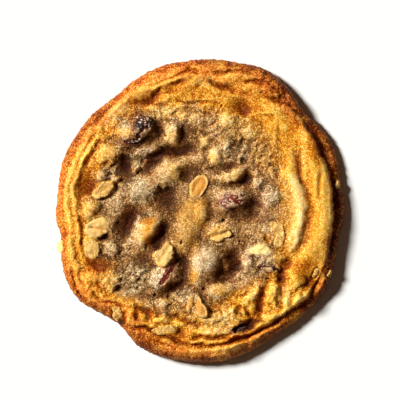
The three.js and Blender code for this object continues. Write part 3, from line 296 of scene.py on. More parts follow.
        (0.6, (-24.5, -20), (-29, -20), (-25, -17), (-21, -18.5), (-21.3, -22.5), (-26, -23.5)),
        (0.8, (-24.5, -35), (-31, -34), (-25, -32), (-19, -34.5), (-20, -37.5), (-26, -37)),
    ],
    # small holes: x, y, length, width, turn, depth
    "holes": [
        (8.9, -3.7, 2.2, 1.7, 30, 1.6), (-7.6, -13.2, 1.3, 2.4, 15, 1.0), (1.7, -31.2, 2.2, 1.8, 0, 1.4),
        (-18.2, -33.6, 1.8, 1.5, 0, 1.2), (-13.7, 29.8, 1.4, 1.6, 0, 1.1), (9, 41.8, 1.1, 1.1, 0, 1.2),
        (15.7, -12, 1.2, 1.2, 0, 0.9), (-35, -39.8, 0.9, 1.6, 0, 1.1), (-45, -31.8, 1.3, 1.0, 0, 1.0),
        (15, -41.5, 1.2, 0.9, 0, 0.8), (-13.3, 53.6, 0.9, 1.1, 0, 0.7), (-48.4, -33, 1.4, 1.8, 30, 0.9),
        (-25.5, -26, 1.2, 1.2, 0, 0.8), (28, 13.5, 1.1, 1.1, 0, 0.7), (-20, 8, 1.0, 1.0, 0, 0.6),
    ],
    # clumps of the crumb with clefts between them: spacing, height, seed; then where they are coarsest
    "crumb": [(7.0, 0.4, 1), (3.4, 0.65, 2)],
    "coarsePlaces": [
        (14, 24, 14, 13, 0, 1.0), (-33, -15, 13, 14, 0, 0.9), (-35, 17, 14, 12, 0, 1.0),
        (-27, -26, 16, 13, 0, 0.8), (-25, 20, 13, 14, 0, 0.9), (-10, -36, 20, 8, 0, 0.8),
        (22, -24, 14, 12, 0, 0.6), (27, 14, 14, 22, 0, 0.4), (0, 33, 26, 12, 0, 0.5),
        (-42, -28, 22, 14, -40, 0.9), (26, 20, 12, 20, 0, 0.7), (24, -36, 24, 16, 20, 0.8),
        (2, 38, 40, 10, 0, 0.7), (-38, 26, 14, 20, -20, 0.7), (33, -30, 12, 12, 0, 0.6),
        (38, -37, 14, 8, 40, 0.6), (-12, -45, 26, 9, 0, 0.7), (10, -43, 28, 9, 5, 0.8),
        (29, 51, 16, 12, -40, 1.0),
    ],
    "fineCrumb": [(1.7, 0.13, 13), (0.9, 0.12, 4)],
    "edgeCrumb": [(1.7, 0.26, 61), (0.9, 0.18, 62)],
    # folds along the ring: spacing across them, length, height, seed
    "wrinkles": [(4.0, 13, 0.25, 51)],
    "fineWrinkles": [(2.3, 6, 0.07, 55), (1.1, 2, 0.07, 56)],
    "pores": [(1.9, 0.22, 81), (3.3, 0.4, 85)],   # cells of which some hold a pore: spacing, depth, seed
    # lumps whose skin stayed smooth: x, y, length, width, turn, share
    "smoothPlaces": [
        (-2, -3, 26, 15, 65, 0.85), (-14, 16.5, 22, 11, 35, 0.7), (-21, -8, 16, 10, 55, 0.75),
        (1.5, -20.5, 19, 15, 75, 0.7), (-24, 8, 13, 11, 0, 0.5), (-10, 4, 12, 14, 60, 0.6),
        (13, 5, 14, 11, 0, 0.4), (39, 0, 8, 40, 0, 0.8), (47, 5, 8, 60, 0, 0.8), (41, -22, 9, 20, -35, 0.7),
        (33, 32, 18, 12, -20, 0.5),
    ],
    # places lighter than the rest of their zone, and darker ones: x, y, length, width, turn, strength
    # both lists are partly the crumb's own tone and partly painted light and painted shadow
    "paler": [
        (33, -33.5, 6.5, 8, 0, 1.7), (9, -27, 6, 5, 0, 0.8), (-13, -20.5, 8, 6, 0, 1.6),
        (24, -9, 11, 9, 0, 1.0), (51, 21, 5, 9, 10, 1.8), (-15, 33, 5, 8, 0, 0.6), (9, 22.5, 7, 9, 0, 2.3),
        (9, 33, 12, 8, 0, 0.6), (-28, -34, 11, 7, -10, 1.2), (-9, -33, 9, 7, 0, 0.6),
        (4, -45, 24, 7, 0, 0.8), (9, -57, 14, 4, 5, 0.8), (39, -2, 9, 38, 0, 1.0), (35, 8, 8, 18, 5, 1.1),
        (38, 20, 7, 12, 10, 0.8), (38, -14, 8, 12, 15, 0.6), (5, -2, 11, 9, 0, 0.8),
        (-15, 39.5, 20, 7, 5, 0.9), (-33, 39, 12, 7, 40, 0.8), (-22, 46, 7, 4, 30, 0.9),
        (-20, 21.5, 6, 4, 0, 0.8), (-36, 6, 10, 9, -30, 1.3), (-45, 21, 6, 9, -20, 1.2),
        (-33, 27, 7, 6, 0, 0.6),
    ],
    "duller": [
        (-21, -3.2, 5, 5, 0, 2.4), (-12, 2, 11, 8, 0, 2.2), (-19, 3, 7, 5, 0, 1.2), (-13, -4, 8, 6, 0, 1.0),
        (-23, -41, 12, 5, 0, 2.1), (-20, -51, 13, 6, -15, 2.8), (-8, -51, 8, 4, -5, 1.0),
        (-3, -38.5, 6, 6, 0, 1.1), (-3, -45, 9, 5, 0, 1.2), (15, -52, 14, 5, 5, 1.7),
        (21, -45, 11, 6, 15, 2.0), (27, -45, 9, 5, 30, 1.4), (33, -27, 6, 8, 0, 1.4),
        (41, -23, 7, 9, -30, 2.6), (45, -27, 8, 11, -35, 1.2), (51, -15, 4, 10, 5, 1.4),
        (21, -3, 7, 6, 0, 0.8), (15, 27, 7, 5, 0, 1.6), (21, 39, 9, 6, 0, 0.8), (46, 24.5, 6, 14, 14, 3.0),
        (39, 33, 7, 6, 0, 1.2), (-13, 45, 8, 5, 15, 0.6), (-3, 14.5, 8, 8, 0, 2.8),
        (-4, 29, 7.5, 9, 0, 2.0), (-19.5, 27.5, 8, 4.5, 15, 2.2), (-26, 27.5, 8, 7, 0, 3.0),
        (-27, 21, 7, 6, 0, 0.8), (-27, 33.5, 6, 6, 0, 1.6), (-29, 15, 9, 7, 0, 3.0),
        (-21, 15, 6, 6, 0, 1.5), (-39, 15, 7, 6, 0, 0.7), (-33, -9, 8, 9, 0, 1.4), (-35, -18, 9, 8, 0, 1.3),
        (-41, -21.3, 9, 7, 0, 3.1), (-21, -21, 8, 6, 0, 1.8), (-21, -33, 8, 6, 0, 0.8),
    ],
    "nearRounds": 24,       # how widely the relief is compared with what is close by
    "wideRounds": 260,      # and with what is further off
    "reliefPaintedShading": 0.16,    # painted highlight on a crest of small relief and painted shade in a cleft: how much lighter and darker
    "reliefHeight": 0.25,   # the height that gives all of that
    "lumpPaintedShading": 0.2,       # the same for lumps and the valleys between them
    "lumpHeight": 0.9,
    "toneShade": 0.14,      # the same for the paler and duller places, at a strength of 1
    "mottleShade": 0.06,    # and for the fine mottle
    # where the sandy middle gives way to the golden ring
    "middle": [
        (32, 0), (32, 10), (29.5, 20), (25, 28), (20, 34), (12, 37), (0, 42), (-15, 41.5), (-26, 40),
        (-34, 32), (-38, 22), (-41, 12), (-44, 3), (-43, -6), (-42, -16), (-37, -24), (-30, -34),
        (-20, -39), (-10, -42), (0, -40), (8, -36), (15, -31), (25, -27), (30, -20), (32, -10),
    ],
    "middleEdge": 9.0,      # width over which the one turns into the other
    # what colours the crumb besides: x, y, length, width, turn, strength
    "tints": {
        "butter": [
            (9, -40, 8, 6, 0, 0.9), (3, 51, 8, 6, 0, 0.6), (27, -9, 7, 8, 0, 0.4), (39, 0, 9, 36, 0, 0.8),
            (33, 3, 7, 14, 0, 0.6), (5, -45, 22, 8, 0, 0.9), (-15, 39, 20, 7, 5, 0.8),
            (-33, 39, 12, 7, 40, 0.7), (37, -12, 8, 12, 10, 0.6), (39, 19, 6, 12, 0, 0.3),
            (10, 27, 9, 7, 0, 0.5), (9, 35, 14, 7, 0, 0.5), (33, -33, 7, 10, 0, 0.4),
            (20, -32, 10, 8, 40, 0.4), (-36, 35, 8, 8, 0, 0.4),
        ],
        # orange-brown along creases and on slopes turned from the light: partly the dough's deeper
        # browning, partly painted shade
        "amber": [
            (33, -27, 5, 9, 0, 0.9), (45, -27, 6, 10, -35, 0.9), (46, 26, 4, 14, 15, 0.8),
            (-48.5, 14, 7, 38, -12, 0.7), (-52, -3, 5, 44, 3, 0.5), (-43, -28, 13, 15, 0, 1.0),
            (16, 50, 34, 11, -8, 0.9), (-6, 52, 24, 9, 12, 0.7), (-46, 12, 9, 12, -14, 0.9),
            (-44, 20, 4, 18, -30, 0.8), (-23, 45.5, 18, 7, 20, 1.0), (34, -44, 26, 5, 40, 0.8),
            (10, -50, 30, 5, 3, 0.7), (-30, -42, 26, 9, -38, 0.5), (-48.3, -10, 3.5, 20, 0, 0.6),
            (17, 41, 12, 9, 0, 0.5), (30, 44, 14, 5, -15, 0.9), (44, -8, 3, 26, 12, 0.3),
            (39, 18, 3, 14, 5, 0.7), (48, 9, 2.5, 14, 0, 0.6), (24.5, -34, 4, 18, 8, 0.7),
            (32.5, -33, 3, 14, 0, 0.7), (-38, 38, 8, 12, -45, 0.5), (-12, -50, 26, 7, -5, 0.6),
            (-36, -36, 14, 8, -40, 0.5), (-54, -2, 3, 8, 5, 0.7), (-52.8, -8.5, 2.4, 3.4, 0, 0.8),
            (-54, 9, 2.4, 6, 5, 0.6), (50.5, 0, 4, 34, 0, 0.3), (36, -36, 5, 10, -10, 0.5),
            (-2, 46.5, 6, 3.5, 0, 0.5), (-33, -34, 12, 6, -20, 0.4),
        ],
        "ash": [
            (-25, 8.5, 12, 12, 0, 0.9), (-26.9, -8, 11, 3.2, 68, 1.0), (-21.6, -1.8, 9, 2.8, 22, 1.0),
            (2, -18.5, 14, 12, 70, 0.8), (-27, -27, 20, 15, 0, 0.8), (-34, -15, 11, 9, 0, 0.45),
            (-24, 22, 14, 8, 30, 0.8), (-7, -33.5, 12, 6, 0, 0.9), (14, 25, 13, 11, 0, 0.8),
            (21, -21, 17, 13, 0, 0.5), (-17.5, -27, 7, 11, -20, 1.0), (-30.5, 34.5, 6, 5, 0, 0.9),
            (11, 6, 15, 11, 0, 0.5), (-8, 34, 10, 6, 0, 0.5), (28, 6, 8, 10, 0, 0.6),
            (-35, 2, 9, 12, 0, 0.4), (-36, 15, 10, 8, 0, 0.6), (-17, 18.5, 6, 8, -35, 0.5),
            (-7, 9, 12, 14, 0, 0.4), (7, -33, 8, 5, 0, 0.5), (-16, -37, 8, 4, 0, 0.5),
        ],
        "warm": [
            (8, -42.5, 24, 7, 8, 1.0), (35, 0, 6, 30, 0, 0.5), (-2.5, -2, 18, 13, 65, 0.9),
            (-20.4, -8.2, 11, 6, 52, 1.0), (27, 22, 12, 18, 0, 0.7), (-2, -26.8, 7, 6, 0, 1.0),
            (7.5, -9, 10, 6, 10, 0.7), (-6, -11, 16, 10, 60, 0.7), (14, 14, 13, 5, 25, 0.8),
            (6.4, 21.5, 7, 8, 0, 1.0), (30.5, -9, 5, 12, 0, 0.7), (-38.5, 8.3, 11, 7, 35, 0.8),
            (-44, 0.3, 11, 9, 60, 0.9), (-11, 29, 6, 9, 0, 0.6), (18, 32, 14, 12, 0, 0.6),
            (-29, 31, 5, 4, 0, 0.8), (-37.5, 23, 12, 9, 0, 0.8), (8.5, -31.5, 9, 6, 10, 0.8),
            (-2, -39, 10, 9, 0, 0.6), (-12, 39, 28, 6, 0, 0.6), (26.5, -11, 4, 5, 0, 1.0),
            (-9, 15.5, 9, 10, 45, 0.9), (2, 27.5, 5, 5, 0, 0.8), (11, 35.5, 8, 7, 0, 0.8),
            (-36, -28.5, 10, 10, 0, 0.9), (-10, 30, 7, 10, 0, 0.5), (-12, -36, 10, 7, 0, 0.4),
        ],
        "pink": [
            (27, 2, 12, 34, 8, 0.7), (13, 4, 13, 9, 10, 0.9), (23, -21, 16, 11, 0, 0.8),
            (-24, -24, 10, 7, 30, 0.3), (16, -27, 12, 8, 40, 0.7), (-30, 7, 8, 8, 0, 0.4),
            (29, -3, 10, 9, 0, 0.6), (27, 19, 9, 12, 0, 0.5), (-16, -26, 8, 9, 0, 0.5),
            (5, 33, 9, 7, 0, 0.4), (-35, 6, 8, 8, 0, 0.5),
        ],
        "honey": [
            (-20.6, -7.8, 11, 6, 55, 1.2), (-2.8, -26.8, 5, 5, 0, 0.8), (7.3, -9, 10, 4, 8, 0.6),
            (26.6, -11, 3.5, 4.5, 0, 0.9), (7.5, 20.5, 4.5, 5, 0, 0.8), (-0.2, -0.6, 6, 11, 0, 0.6),
            (-44, 0.3, 7, 6, 40, 0.5), (-36.5, 23, 9, 6, 0, 0.4), (30, 20, 3, 9, 0, 0.6),
            (24, 27.5, 5, 3, 20, 0.7), (8, -32, 8, 4.5, 5, 0.6), (-36, -29, 7, 6, 0, 0.5),
        ],
        # painted shadow: smooth dark brown in the valleys beside the lumps, where their shadows fall
        "paintedShadow": [
            (-16.8, -11, 15, 5.5, 55, 1.0), (-28, -3.5, 6, 12, 8, 1.0), (-21.8, -18.2, 6, 5, 0, 0.6),
            (-7.8, -17.6, 8, 3, 12, 0.8), (-10.5, -30, 15, 4.5, 32, 1.0), (12.3, -20.5, 7, 13, -15, 1.0),
            (6.5, -28.2, 6, 3.4, 25, 0.6), (12.5, 18, 7, 3.2, 12, 0.9), (18.8, 12.8, 4.5, 7, -20, 0.9),
            (14, 10.4, 9, 2.2, 8, 0.5), (-11, 23.3, 21, 4, 8, 1.0), (-19.8, 18, 4, 8, -35, 0.9),
            (-30, 19.5, 5.5, 9, 0, 0.7), (20.5, -45.4, 11, 3.2, 14, 1.0), (-22, 24.5, 8, 3, 25, 0.6),
            (-16.8, 33, 3.4, 8, -10, 0.6), (22, 1.5, 8, 9, 0, 0.6), (24, -3, 10, 3.5, 0, 0.6),
            (-12.5, 5.5, 9, 7, 0, 0.5), (-31, -31, 6, 3.5, 0, 0.7),
        ],
    },
    # how the spread edge browned, by direction in degrees: width, toast; width, char; on the right, where
    # the edge is turned from the key light, the char is partly painted shade
    "browning": [
        (-180, 5, 0.8, 2, 0.1), (-160, 6, 0.9, 3, 0.3), (-145, 7, 1.0, 4, 0.5), (-130, 9, 1.0, 6, 1.0),
        (-110, 10, 1.0, 6, 0.9), (-90, 9, 1.0, 4.5, 0.7), (-70, 7, 0.9, 3.5, 0.6), (-55, 5, 0.9, 3, 0.8),
        (-40, 6, 1.0, 4, 1.0), (-30, 5.5, 1.0, 5, 1.0), (-10, 5.5, 1.0, 5.5, 1.0), (8, 5.5, 1.0, 5.5, 1.0),
        (18, 6, 1.0, 4.5, 0.8), (35, 7, 1.0, 5, 0.8), (50, 9, 1.0, 7, 0.9), (62, 12, 1.0, 8, 0.9),
        (75, 10, 1.0, 5, 0.6), (90, 9, 1.0, 5, 0.7), (105, 8, 1.0, 3, 0.3), (125, 7, 1.0, 3, 0.3),
        (138, 8, 1.0, 5, 0.8), (150, 7, 1.0, 5, 0.8), (165, 5, 0.8, 2, 0.2), (180, 5, 0.8, 2, 0.1),
    ],
}


def smoothStep(value, low, high):
    t = np.clip((value - low) / (high - low), 0, 1)
    return t * t * t * (t * (6 * t - 15) + 10)


def catmullRom(t, a, b, c, d):
    return 0.5 * (2 * b + (c - a) * t + (2 * a - 5 * b + 4 * c - d) * t * t
                  + (3 * b - a - 3 * c + d) * t ** 3)


# how far out the closed smooth line through the points lies in each direction
def closedRadius(points, angle):
    around = sorted((math.atan2(y, x) % (2 * math.pi), math.hypot(x, y)) for x, y in points)
    angles = np.array([a for a, r in around])
    radii = np.array([r for a, r in around])
    count = len(around)
    turned = np.mod(angle, 2 * math.pi)
    here = np.mod(np.searchsorted(angles, turned, side="right") - 1, count)
    after = (here + 1) % count
    start = angles[here]
    end = np.where(angles[after] <= start, angles[after] + 2 * math.pi, angles[after])
    turned = np.where(turned < start, turned + 2 * math.pi, turned)
    return catmullRom((turned - start) / (end - start), radii[here - 1], radii[here],
                      radii[after], radii[(here + 2) % count])


# the open smooth line through the points, as short straight steps
def smoothPath(points, steps=4):
    ends = [points[0], *points, points[-1]]
    path = [tuple(catmullRom(k / steps, *parts) for parts in zip(*ends[i:i + 4]))
            for i in range(len(points) - 1) for k in range(steps)]
    return path + [points[-1]]


# distance to a line through the points, the same signed outwards from the middle, and a fade at its ends
def nearPath(x, y, points, taper, margin=12):
    path = smoothPath(points)
    across, up = [px for px, py in path], [py for px, py in path]
    close = ((x > min(across) - margin) & (x < max(across) + margin)
             & (y > min(up) - margin) & (y < max(up) + margin))
    nx, ny = x[close], y[close]
    nearest = np.full(nx.shape, farOff)
    along = np.zeros(nx.shape)
    pathRadius = np.zeros(nx.shape)
    for k, ((ax, ay), (bx, by)) in enumerate(zip(path, path[1:])):
        dx, dy = bx - ax, by - ay
        t = np.clip(((nx - ax) * dx + (ny - ay) * dy) / (dx * dx + dy * dy), 0, 1)
        distance = np.hypot(nx - ax - t * dx, ny - ay - t * dy)
        near = distance < nearest
        nearest = np.where(near, distance, nearest)
        along = np.where(near, (k + t) / (len(path) - 1), along)
        pathRadius = np.where(near, np.hypot(ax + t * dx, ay + t * dy), pathRadius)
    length = sum(math.dist(a, b) for a, b in zip(path, path[1:]))
    fade, gap, side = np.zeros(x.shape), np.full(x.shape, farOff), np.zeros(x.shape)
    gap[close] = nearest
    side[close] = np.where(np.hypot(nx, ny) > pathRadius, nearest, -nearest)
    fade[close] = smoothStep(np.minimum(along, 1 - along), 0, min(0.5, taper / length))
    return gap, side, fade


# 0 at an oval's centre and 1 on its edge
def ovalReach(x, y, cx, cy, length, width, turn):
    c, s = math.cos(math.radians(turn)), math.sin(math.radians(turn))
    along = (x - cx) * c + (y - cy) * s
    across = (y - cy) * c - (x - cx) * s
    return np.hypot(along / (length / 2), across / (width / 2))


# 0 at the centre and 1 on a line through the points round it
def outlineReach(x, y, centre, edge):
    dx, dy = x - centre[0], y - centre[1]
    spokes = [(px - centre[0], py - centre[1]) for px, py in edge]
    return np.hypot(dx, dy) / closedRadius(spokes, np.arctan2(dy, dx))


# the profile of a lump, from 1 at its centre to 0 a third outside its outline
def dome(reach):
    return smoothStep(1.35 - reach, 0, 1.25)


# the profile of a hollow
def bowl(reach):
    return smoothStep(1.25 - reach, 0, 1.2)


# a number from 0 to 1 for each cell of a grid, always the same for the same cell and seed
def hashed(a, b, seed):
    value = np.sin(a * 127.1 + b * 311.7 + seed * 74.7) * 43758.5453
    return value - np.floor(value)


# smooth noise from about -1 to 1
def softNoise(x, y, spacing, seed):
    turn = 0.9 * seed
    u = (x * math.cos(turn) - y * math.sin(turn)) / spacing
    v = (x * math.sin(turn) + y * math.cos(turn)) / spacing
    i, j = np.floor(u), np.floor(v)
    total = np.zeros(x.shape)
    for a in (0, 1):
        for b in (0, 1):
            aim = 2 * math.pi * hashed(i + a, j + b, seed)
            offU, offV = u - i - a, v - j - b
            total += (smoothStep(1 - np.abs(offU), 0, 1) * smoothStep(1 - np.abs(offV), 0, 1)
                      * (np.cos(aim) * offU + np.sin(aim) * offV))
    return 1.9 * total


# rounded clumps with sharp clefts between them, from about -0.35 to 0.65
def clumps(x, y, spacing, seed):
    return np.minimum(np.abs(softNoise(x, y, spacing, seed)), 1) - 0.35


# the greatest share that any of the ovals gives each place
def ovalShare(x, y, ovals, inner=0.55, outer=1.2):
    share = np.zeros(x.shape)
    for *oval, strength in ovals:
        share = np.maximum(share, strength * (1 - smoothStep(ovalReach(x, y, *oval), inner, outer)))
    return share


# the height of the top at each place, with what the material needs to know of it
def surface(x, y, dressed=True):
    radius, angle = np.hypot(x, y), np.arctan2(y, x)
    fromRim = np.clip(closedRadius(dough["outline"], angle) - radius, 0, None)
    outward = np.clip(1 - fromRim / dough["rimRollWidth"], 0, 1)
    z = dough["rimHeight"] + (dough["plateau"] - dough["rimHeight"]) * np.sqrt(1 - outward ** 2)
    z = z + dough["centreRise"] * np.exp(-(radius / dough["centreRiseRadius"]) ** 4)
    flatX, flatY = x, y
    for spacing, reach in dough["wander"]:
        x = x + reach * softNoise(flatX, flatY, spacing, 21 + spacing)
        y = y + reach * softNoise(flatX, flatY, spacing, 31 + spacing)
    uneven = softNoise(flatX, flatY, 4.5, 71)
    # how deeply each place is cut, which sets the painted shade of its hollows
    sunk = np.zeros(x.shape)
    for size, halfWidth, *points in dough["rolls"]:
        gap, side, fade = nearPath(x, y, points, dough["valleyTaper"])
        z = z + size * fade * np.exp(-(gap / halfWidth) ** 2)
    for size, halfWidth, *points in dough["creases"]:
        gap, side, fade = nearPath(x, y, points, dough["creaseTaper"])
        wide = halfWidth * (1 + 0.3 * uneven)
        cut = size * fade * np.exp(-(gap / wide / 1.15) ** 1.6)
        lip = dough["creaseLips"] * size * fade * np.exp(-((gap - 2.1 * halfWidth) / halfWidth) ** 2)
        z, sunk = z - cut + lip, sunk + dough["creasePaintedShade"] * cut
    for size, halfWidth, *points in dough["valleys"]:
        gap, side, fade = nearPath(x, y, points, dough["valleyTaper"])
        cut = size * (1 + 0.25 * uneven) * fade * np.exp(-(gap / halfWidth / (1.1 + 0.3 * uneven)) ** 2)
        z, sunk = z - cut, sunk + cut
    body = np.clip((z - dough["thinnestRim"]) / (dough["plateau"] - dough["thinnestRim"]), 0, 1)
    for size, halfWidth, *points in dough["ledges"]:
        gap, side, fade = nearPath(x, y, points, dough["ledgeTaper"])
        z = z - size * fade * body * smoothStep(side, 0, halfWidth)
    raised = np.zeros(x.shape)
    for size, centre, *edge in dough["humps"]:
        raised = raised + (size * dome(outlineReach(x, y, centre, edge))) ** 3
    raised = np.cbrt(raised)
    pitShare = np.zeros(x.shape)
    for size, centre, *edge in dough["pits"]:
        share = bowl(outlineReach(x, y, centre, edge))
        z, sunk, pitShare = z - size * share, sunk + size * share, np.maximum(pitShare, share)
    for *oval, size in dough["holes"]:
        cut = size * bowl(ovalReach(x, y, *oval))
        z, sunk = z - cut, sunk + dough["holePaintedShade"] * cut
    z = z + raised

    warp = 2.5 * softNoise(flatX, flatY, 7, 8) + 1.5 * softNoise(flatX, flatY, 2.5, 9)
    reach = closedRadius(dough["middle"], angle) - radius + warp
    sand = smoothStep(reach, -dough["middleEdge"] / 2, dough["middleEdge"] / 2)
    nearLeft = np.clip(-(0.5 * flatX + 0.85 * flatY) / 42, 0, 1)
    smooth = np.maximum(ovalShare(flatX, flatY, dough["smoothPlaces"] + dough["tints"]["paintedShadow"], 0.6, 1.15),
                        0.7 * pitShare)
    coarse = ovalShare(flatX, flatY, dough["coarsePlaces"], 0.6, 1.25)
    rough = np.maximum(np.maximum(sand, 0.7 * nearLeft), coarse) * (1 - smooth) * (0.7 + coarse)
    rough = rough * (1 - 0.5 * np.clip(raised / 2, 0, 1))
    inward = smoothStep(fromRim, 1, 4)
    form = {"fromRim": fromRim, "radius": radius, "angle": angle, "sunk": sunk, "raised": raised,
            "rough": rough, "smooth": smooth, "sand": sand, "warp": warp, "inward": inward}
    for spacing, height, seed in dough["crumb"]:
        z = z + rough * (0.8 + 0.4 * uneven) * height * clumps(x, y, spacing, seed)
    z = z + wrinkles(flatX, flatY, form, dough["wrinkles"])
    form["bare"] = form["stain"] = np.zeros(x.shape)
    if dressed:
        z, form["bare"], form["stain"] = wrapPieces(flatX, flatY, z)
    form["z"] = z
    return form


# small folds that run round the spread edge
def wrinkles(x, y, form, layers):
    total = np.zeros(x.shape)
    for across, along, height, seed in layers:
        u = form["fromRim"] + 0.9 * form["warp"] + 3 * softNoise(x, y, 14, seed + 1)
        v = form["angle"] * 50 * across / along
        total += height * clumps(u, v, across, seed)
    return total * (1 - form["sand"]) * (1 - form["smooth"]) * form["inward"]


# the dough rises round each flake, and lies over each raisin as a thin skin but for its windows
def wrapPieces(x, y, z):
    for flake in oats["flakes"]:
        reach = outlineReach(x, y, flake["centre"], flake["edge"])
        z = z + (flake["proud"] - oats["breakThrough"]) * smoothStep(1.5 - reach, 0, 0.6)
    bare, stain = np.zeros(x.shape), np.zeros(x.shape)
    spacing, stray = raisins["windowStray"]
    raggedX = x + stray * softNoise(x, y, spacing, 91)
    raggedY = y + stray * softNoise(x, y, spacing, 92)
    for fruit in raisins["fruit"]:
        fx, fy, length, width, height, turn, proud = fruit["form"]
        reach = ovalReach(x, y, fx, fy, length, width, turn)
        crown = topHeight(fx, fy) + proud - height / 2 * (1 - np.sqrt(np.clip(1 - reach ** 2, 0, 1)))
        under = 1 - smoothStep(reach, 0.8, 1.02)
        over = z + under * np.clip(crown + raisins["skin"] - z, 0, None)
        window = np.zeros(x.shape)
        for oval in fruit["windows"]:
            opening = ovalReach(raggedX, raggedY, *oval)
            window = np.maximum(window, 1 - smoothStep(opening, 0.75, 1.15))
            # a stain of raisin juice round each window, which also darkens the lit step at the window's
            # edge as painted shade
            stain = np.maximum(stain, 1 - smoothStep(opening, 1.1, 1.9))
        for oval in fruit["patches"]:
            window = window * smoothStep(ovalReach(raggedX, raggedY, *oval), 0.8, 1.15)
        z = over + window * (np.minimum(over, crown - raisins["windowDepth"]) - over)
        bare = np.maximum(bare, window)
    return z, bare, stain


# relief of a few millimetres and less: crumb, sugary edge, wrinkles and pores
def fineRelief(x, y, form):
    extra = np.zeros(x.shape)
    u = x + 0.6 * softNoise(x, y, 1.9, 41)
    v = y + 0.6 * softNoise(x, y, 1.9, 42)
    for spacing, height, seed in dough["fineCrumb"]:
        extra += (0.2 + form["rough"]) * height * clumps(u, v, spacing, seed)
    for spacing, height, seed in dough["edgeCrumb"]:
        extra += (1 - 0.85 * form["inward"]) * height * clumps(u, v, spacing, seed)
    extra += wrinkles(u, v, form, dough["fineWrinkles"])
    for spacing, depth, seed in dough["pores"]:
        i, j = np.floor(u / spacing), np.floor(v / spacing)
        offU = u / spacing - i - 0.3 - 0.4 * hashed(i, j, seed)
        offV = v / spacing - j - 0.3 - 0.4 * hashed(i, j, seed + 1)
        size = 0.1 + 0.12 * hashed(i, j, seed + 2)
        isPore = hashed(i, j, seed + 3) > 0.6
        hole = np.exp(-((offU ** 2 + offV ** 2) / size ** 2))
        extra -= isPore * (0.2 + 0.8 * form["rough"]) * depth * hole
    return extra * (1 - 0.8 * form["bare"])


# the height of the dough before flakes and raisins lift it
def topHeight(x, y):
    return surface(np.array([float(x)]), np.array([float(y)]), dressed=False)["z"][0]


# the flat hexagon drawn out to a round disc: how far out each point lies, from 0 to 1, and its direction
def discPoint(co):
    angle = np.arctan2(co[:, 1], co[:, 0])
    sector = np.round(angle / (math.pi / 3)) * math.pi / 3
    off = angle - sector
    reach = np.hypot(co[:, 0], co[:, 1]) * np.cos(off) / math.cos(math.pi / 6)
    return reach, sector + math.pi / 6 * np.tan(off) / math.tan(math.pi / 6)


# each point drawn towards its neighbours, which leaves the broad shape without its small relief
def softened(values, ends, rounds):
    first, second = ends.T
    neighbours = np.bincount(ends.ravel(), minlength=len(values))
    for step in range(rounds):
        total = (np.bincount(first, values[second], len(values))
                 + np.bincount(second, values[first], len(values)))
        values = 0.5 * values + 0.5 * total / neighbours
    return values


# what the material follows: the share of each zone's colour, and how light or dark each place is within it
def zoneMarks(x, y, z, form, near, wide, underside):
    mottle = softNoise(x, y, 2.6, 95) + 0.6 * softNoise(x, y, 1.3, 96)
    sand, smooth = form["sand"], form["smooth"]
    patchy = np.clip(0.8 + (1 - 0.7 * smooth) * (0.3 * mottle + 0.35 * softNoise(x, y, 5.5, 97)), 0, 1)
    directions, toastWidth, toast, charWidth, charAndShade = zip(*dough["browning"])
    degrees = np.degrees(form["angle"])
    fromRim = form["fromRim"] + 0.5 * form["warp"]
    toastReach = np.interp(degrees, directions, toastWidth)
    charReach = np.interp(degrees, directions, charWidth)
    # painted shade: the deeper a place lies, in creases and holes most, the more it takes the dark hollow
    # colours
    deep = np.clip(0.2 * form["sunk"] - 0.05 * form["raised"] - 0.35 * (near - wide), 0, 0.8)
    marks = {"sandy": sand}
    for tint, ovals in dough["tints"].items():
        marks[tint] = ovalShare(x + 0.5 * form["warp"], y - 0.5 * form["warp"], ovals) * patchy
    marks["stainedAndShaded"] = 0.8 * form["stain"] * patchy
    marks["toast"] = np.interp(degrees, directions, toast) * (
        1 - smoothStep(fromRim, 0.3 * toastReach, 1.15 * toastReach)) * patchy
    marks["charAndShade"] = np.interp(degrees, directions, charAndShade) * (
        1 - smoothStep(fromRim, 0.3 * charReach, 1.1 * charReach)) * patchy
    marks["toast"] = np.where(underside, dough["undersideToast"], marks["toast"])
    marks["grain"] = (0.9 + 0.25 * marks["toast"]) * (1 - 0.3 * smooth)
    marks["ringPaintedShade"] = deep * (1 - sand)
    marks["middlePaintedShade"] = deep * sand
    away = smoothStep(form["fromRim"], 1.4, 3.0)
    # the paler and duller places: partly the crumb's own tone, partly painted light and painted shadow
    toned = ovalShare(x, y, dough["paler"], 0.4, 1.5) - ovalShare(x, y, dough["duller"], 0.4, 1.5)
    # painted highlight and painted shade: what stands out is lighter and what lies deep is darker, for
    # small relief and for lumps
    small = dough["reliefPaintedShading"] * np.clip((z - near) / dough["reliefHeight"], -1, 1)
    broad = dough["lumpPaintedShading"] * np.clip((near - wide) / dough["lumpHeight"], -1, 1)
    mottled = dough["mottleShade"] * mottle * (0.6 + 0.4 * sand) * (1 - 0.7 * smooth)
    marks["shade"] = 0.5 + dough["toneShade"] * toned + mottled + away * (small + broad)
    return marks


def newPiece(bm, name):
    mesh = bpy.data.meshes.new(name)
    bm.to_mesh(mesh)
    bm.free()
    piece = bpy.data.objects.new(name, mesh)
    bpy.context.collection.objects.link(piece)
    return piece


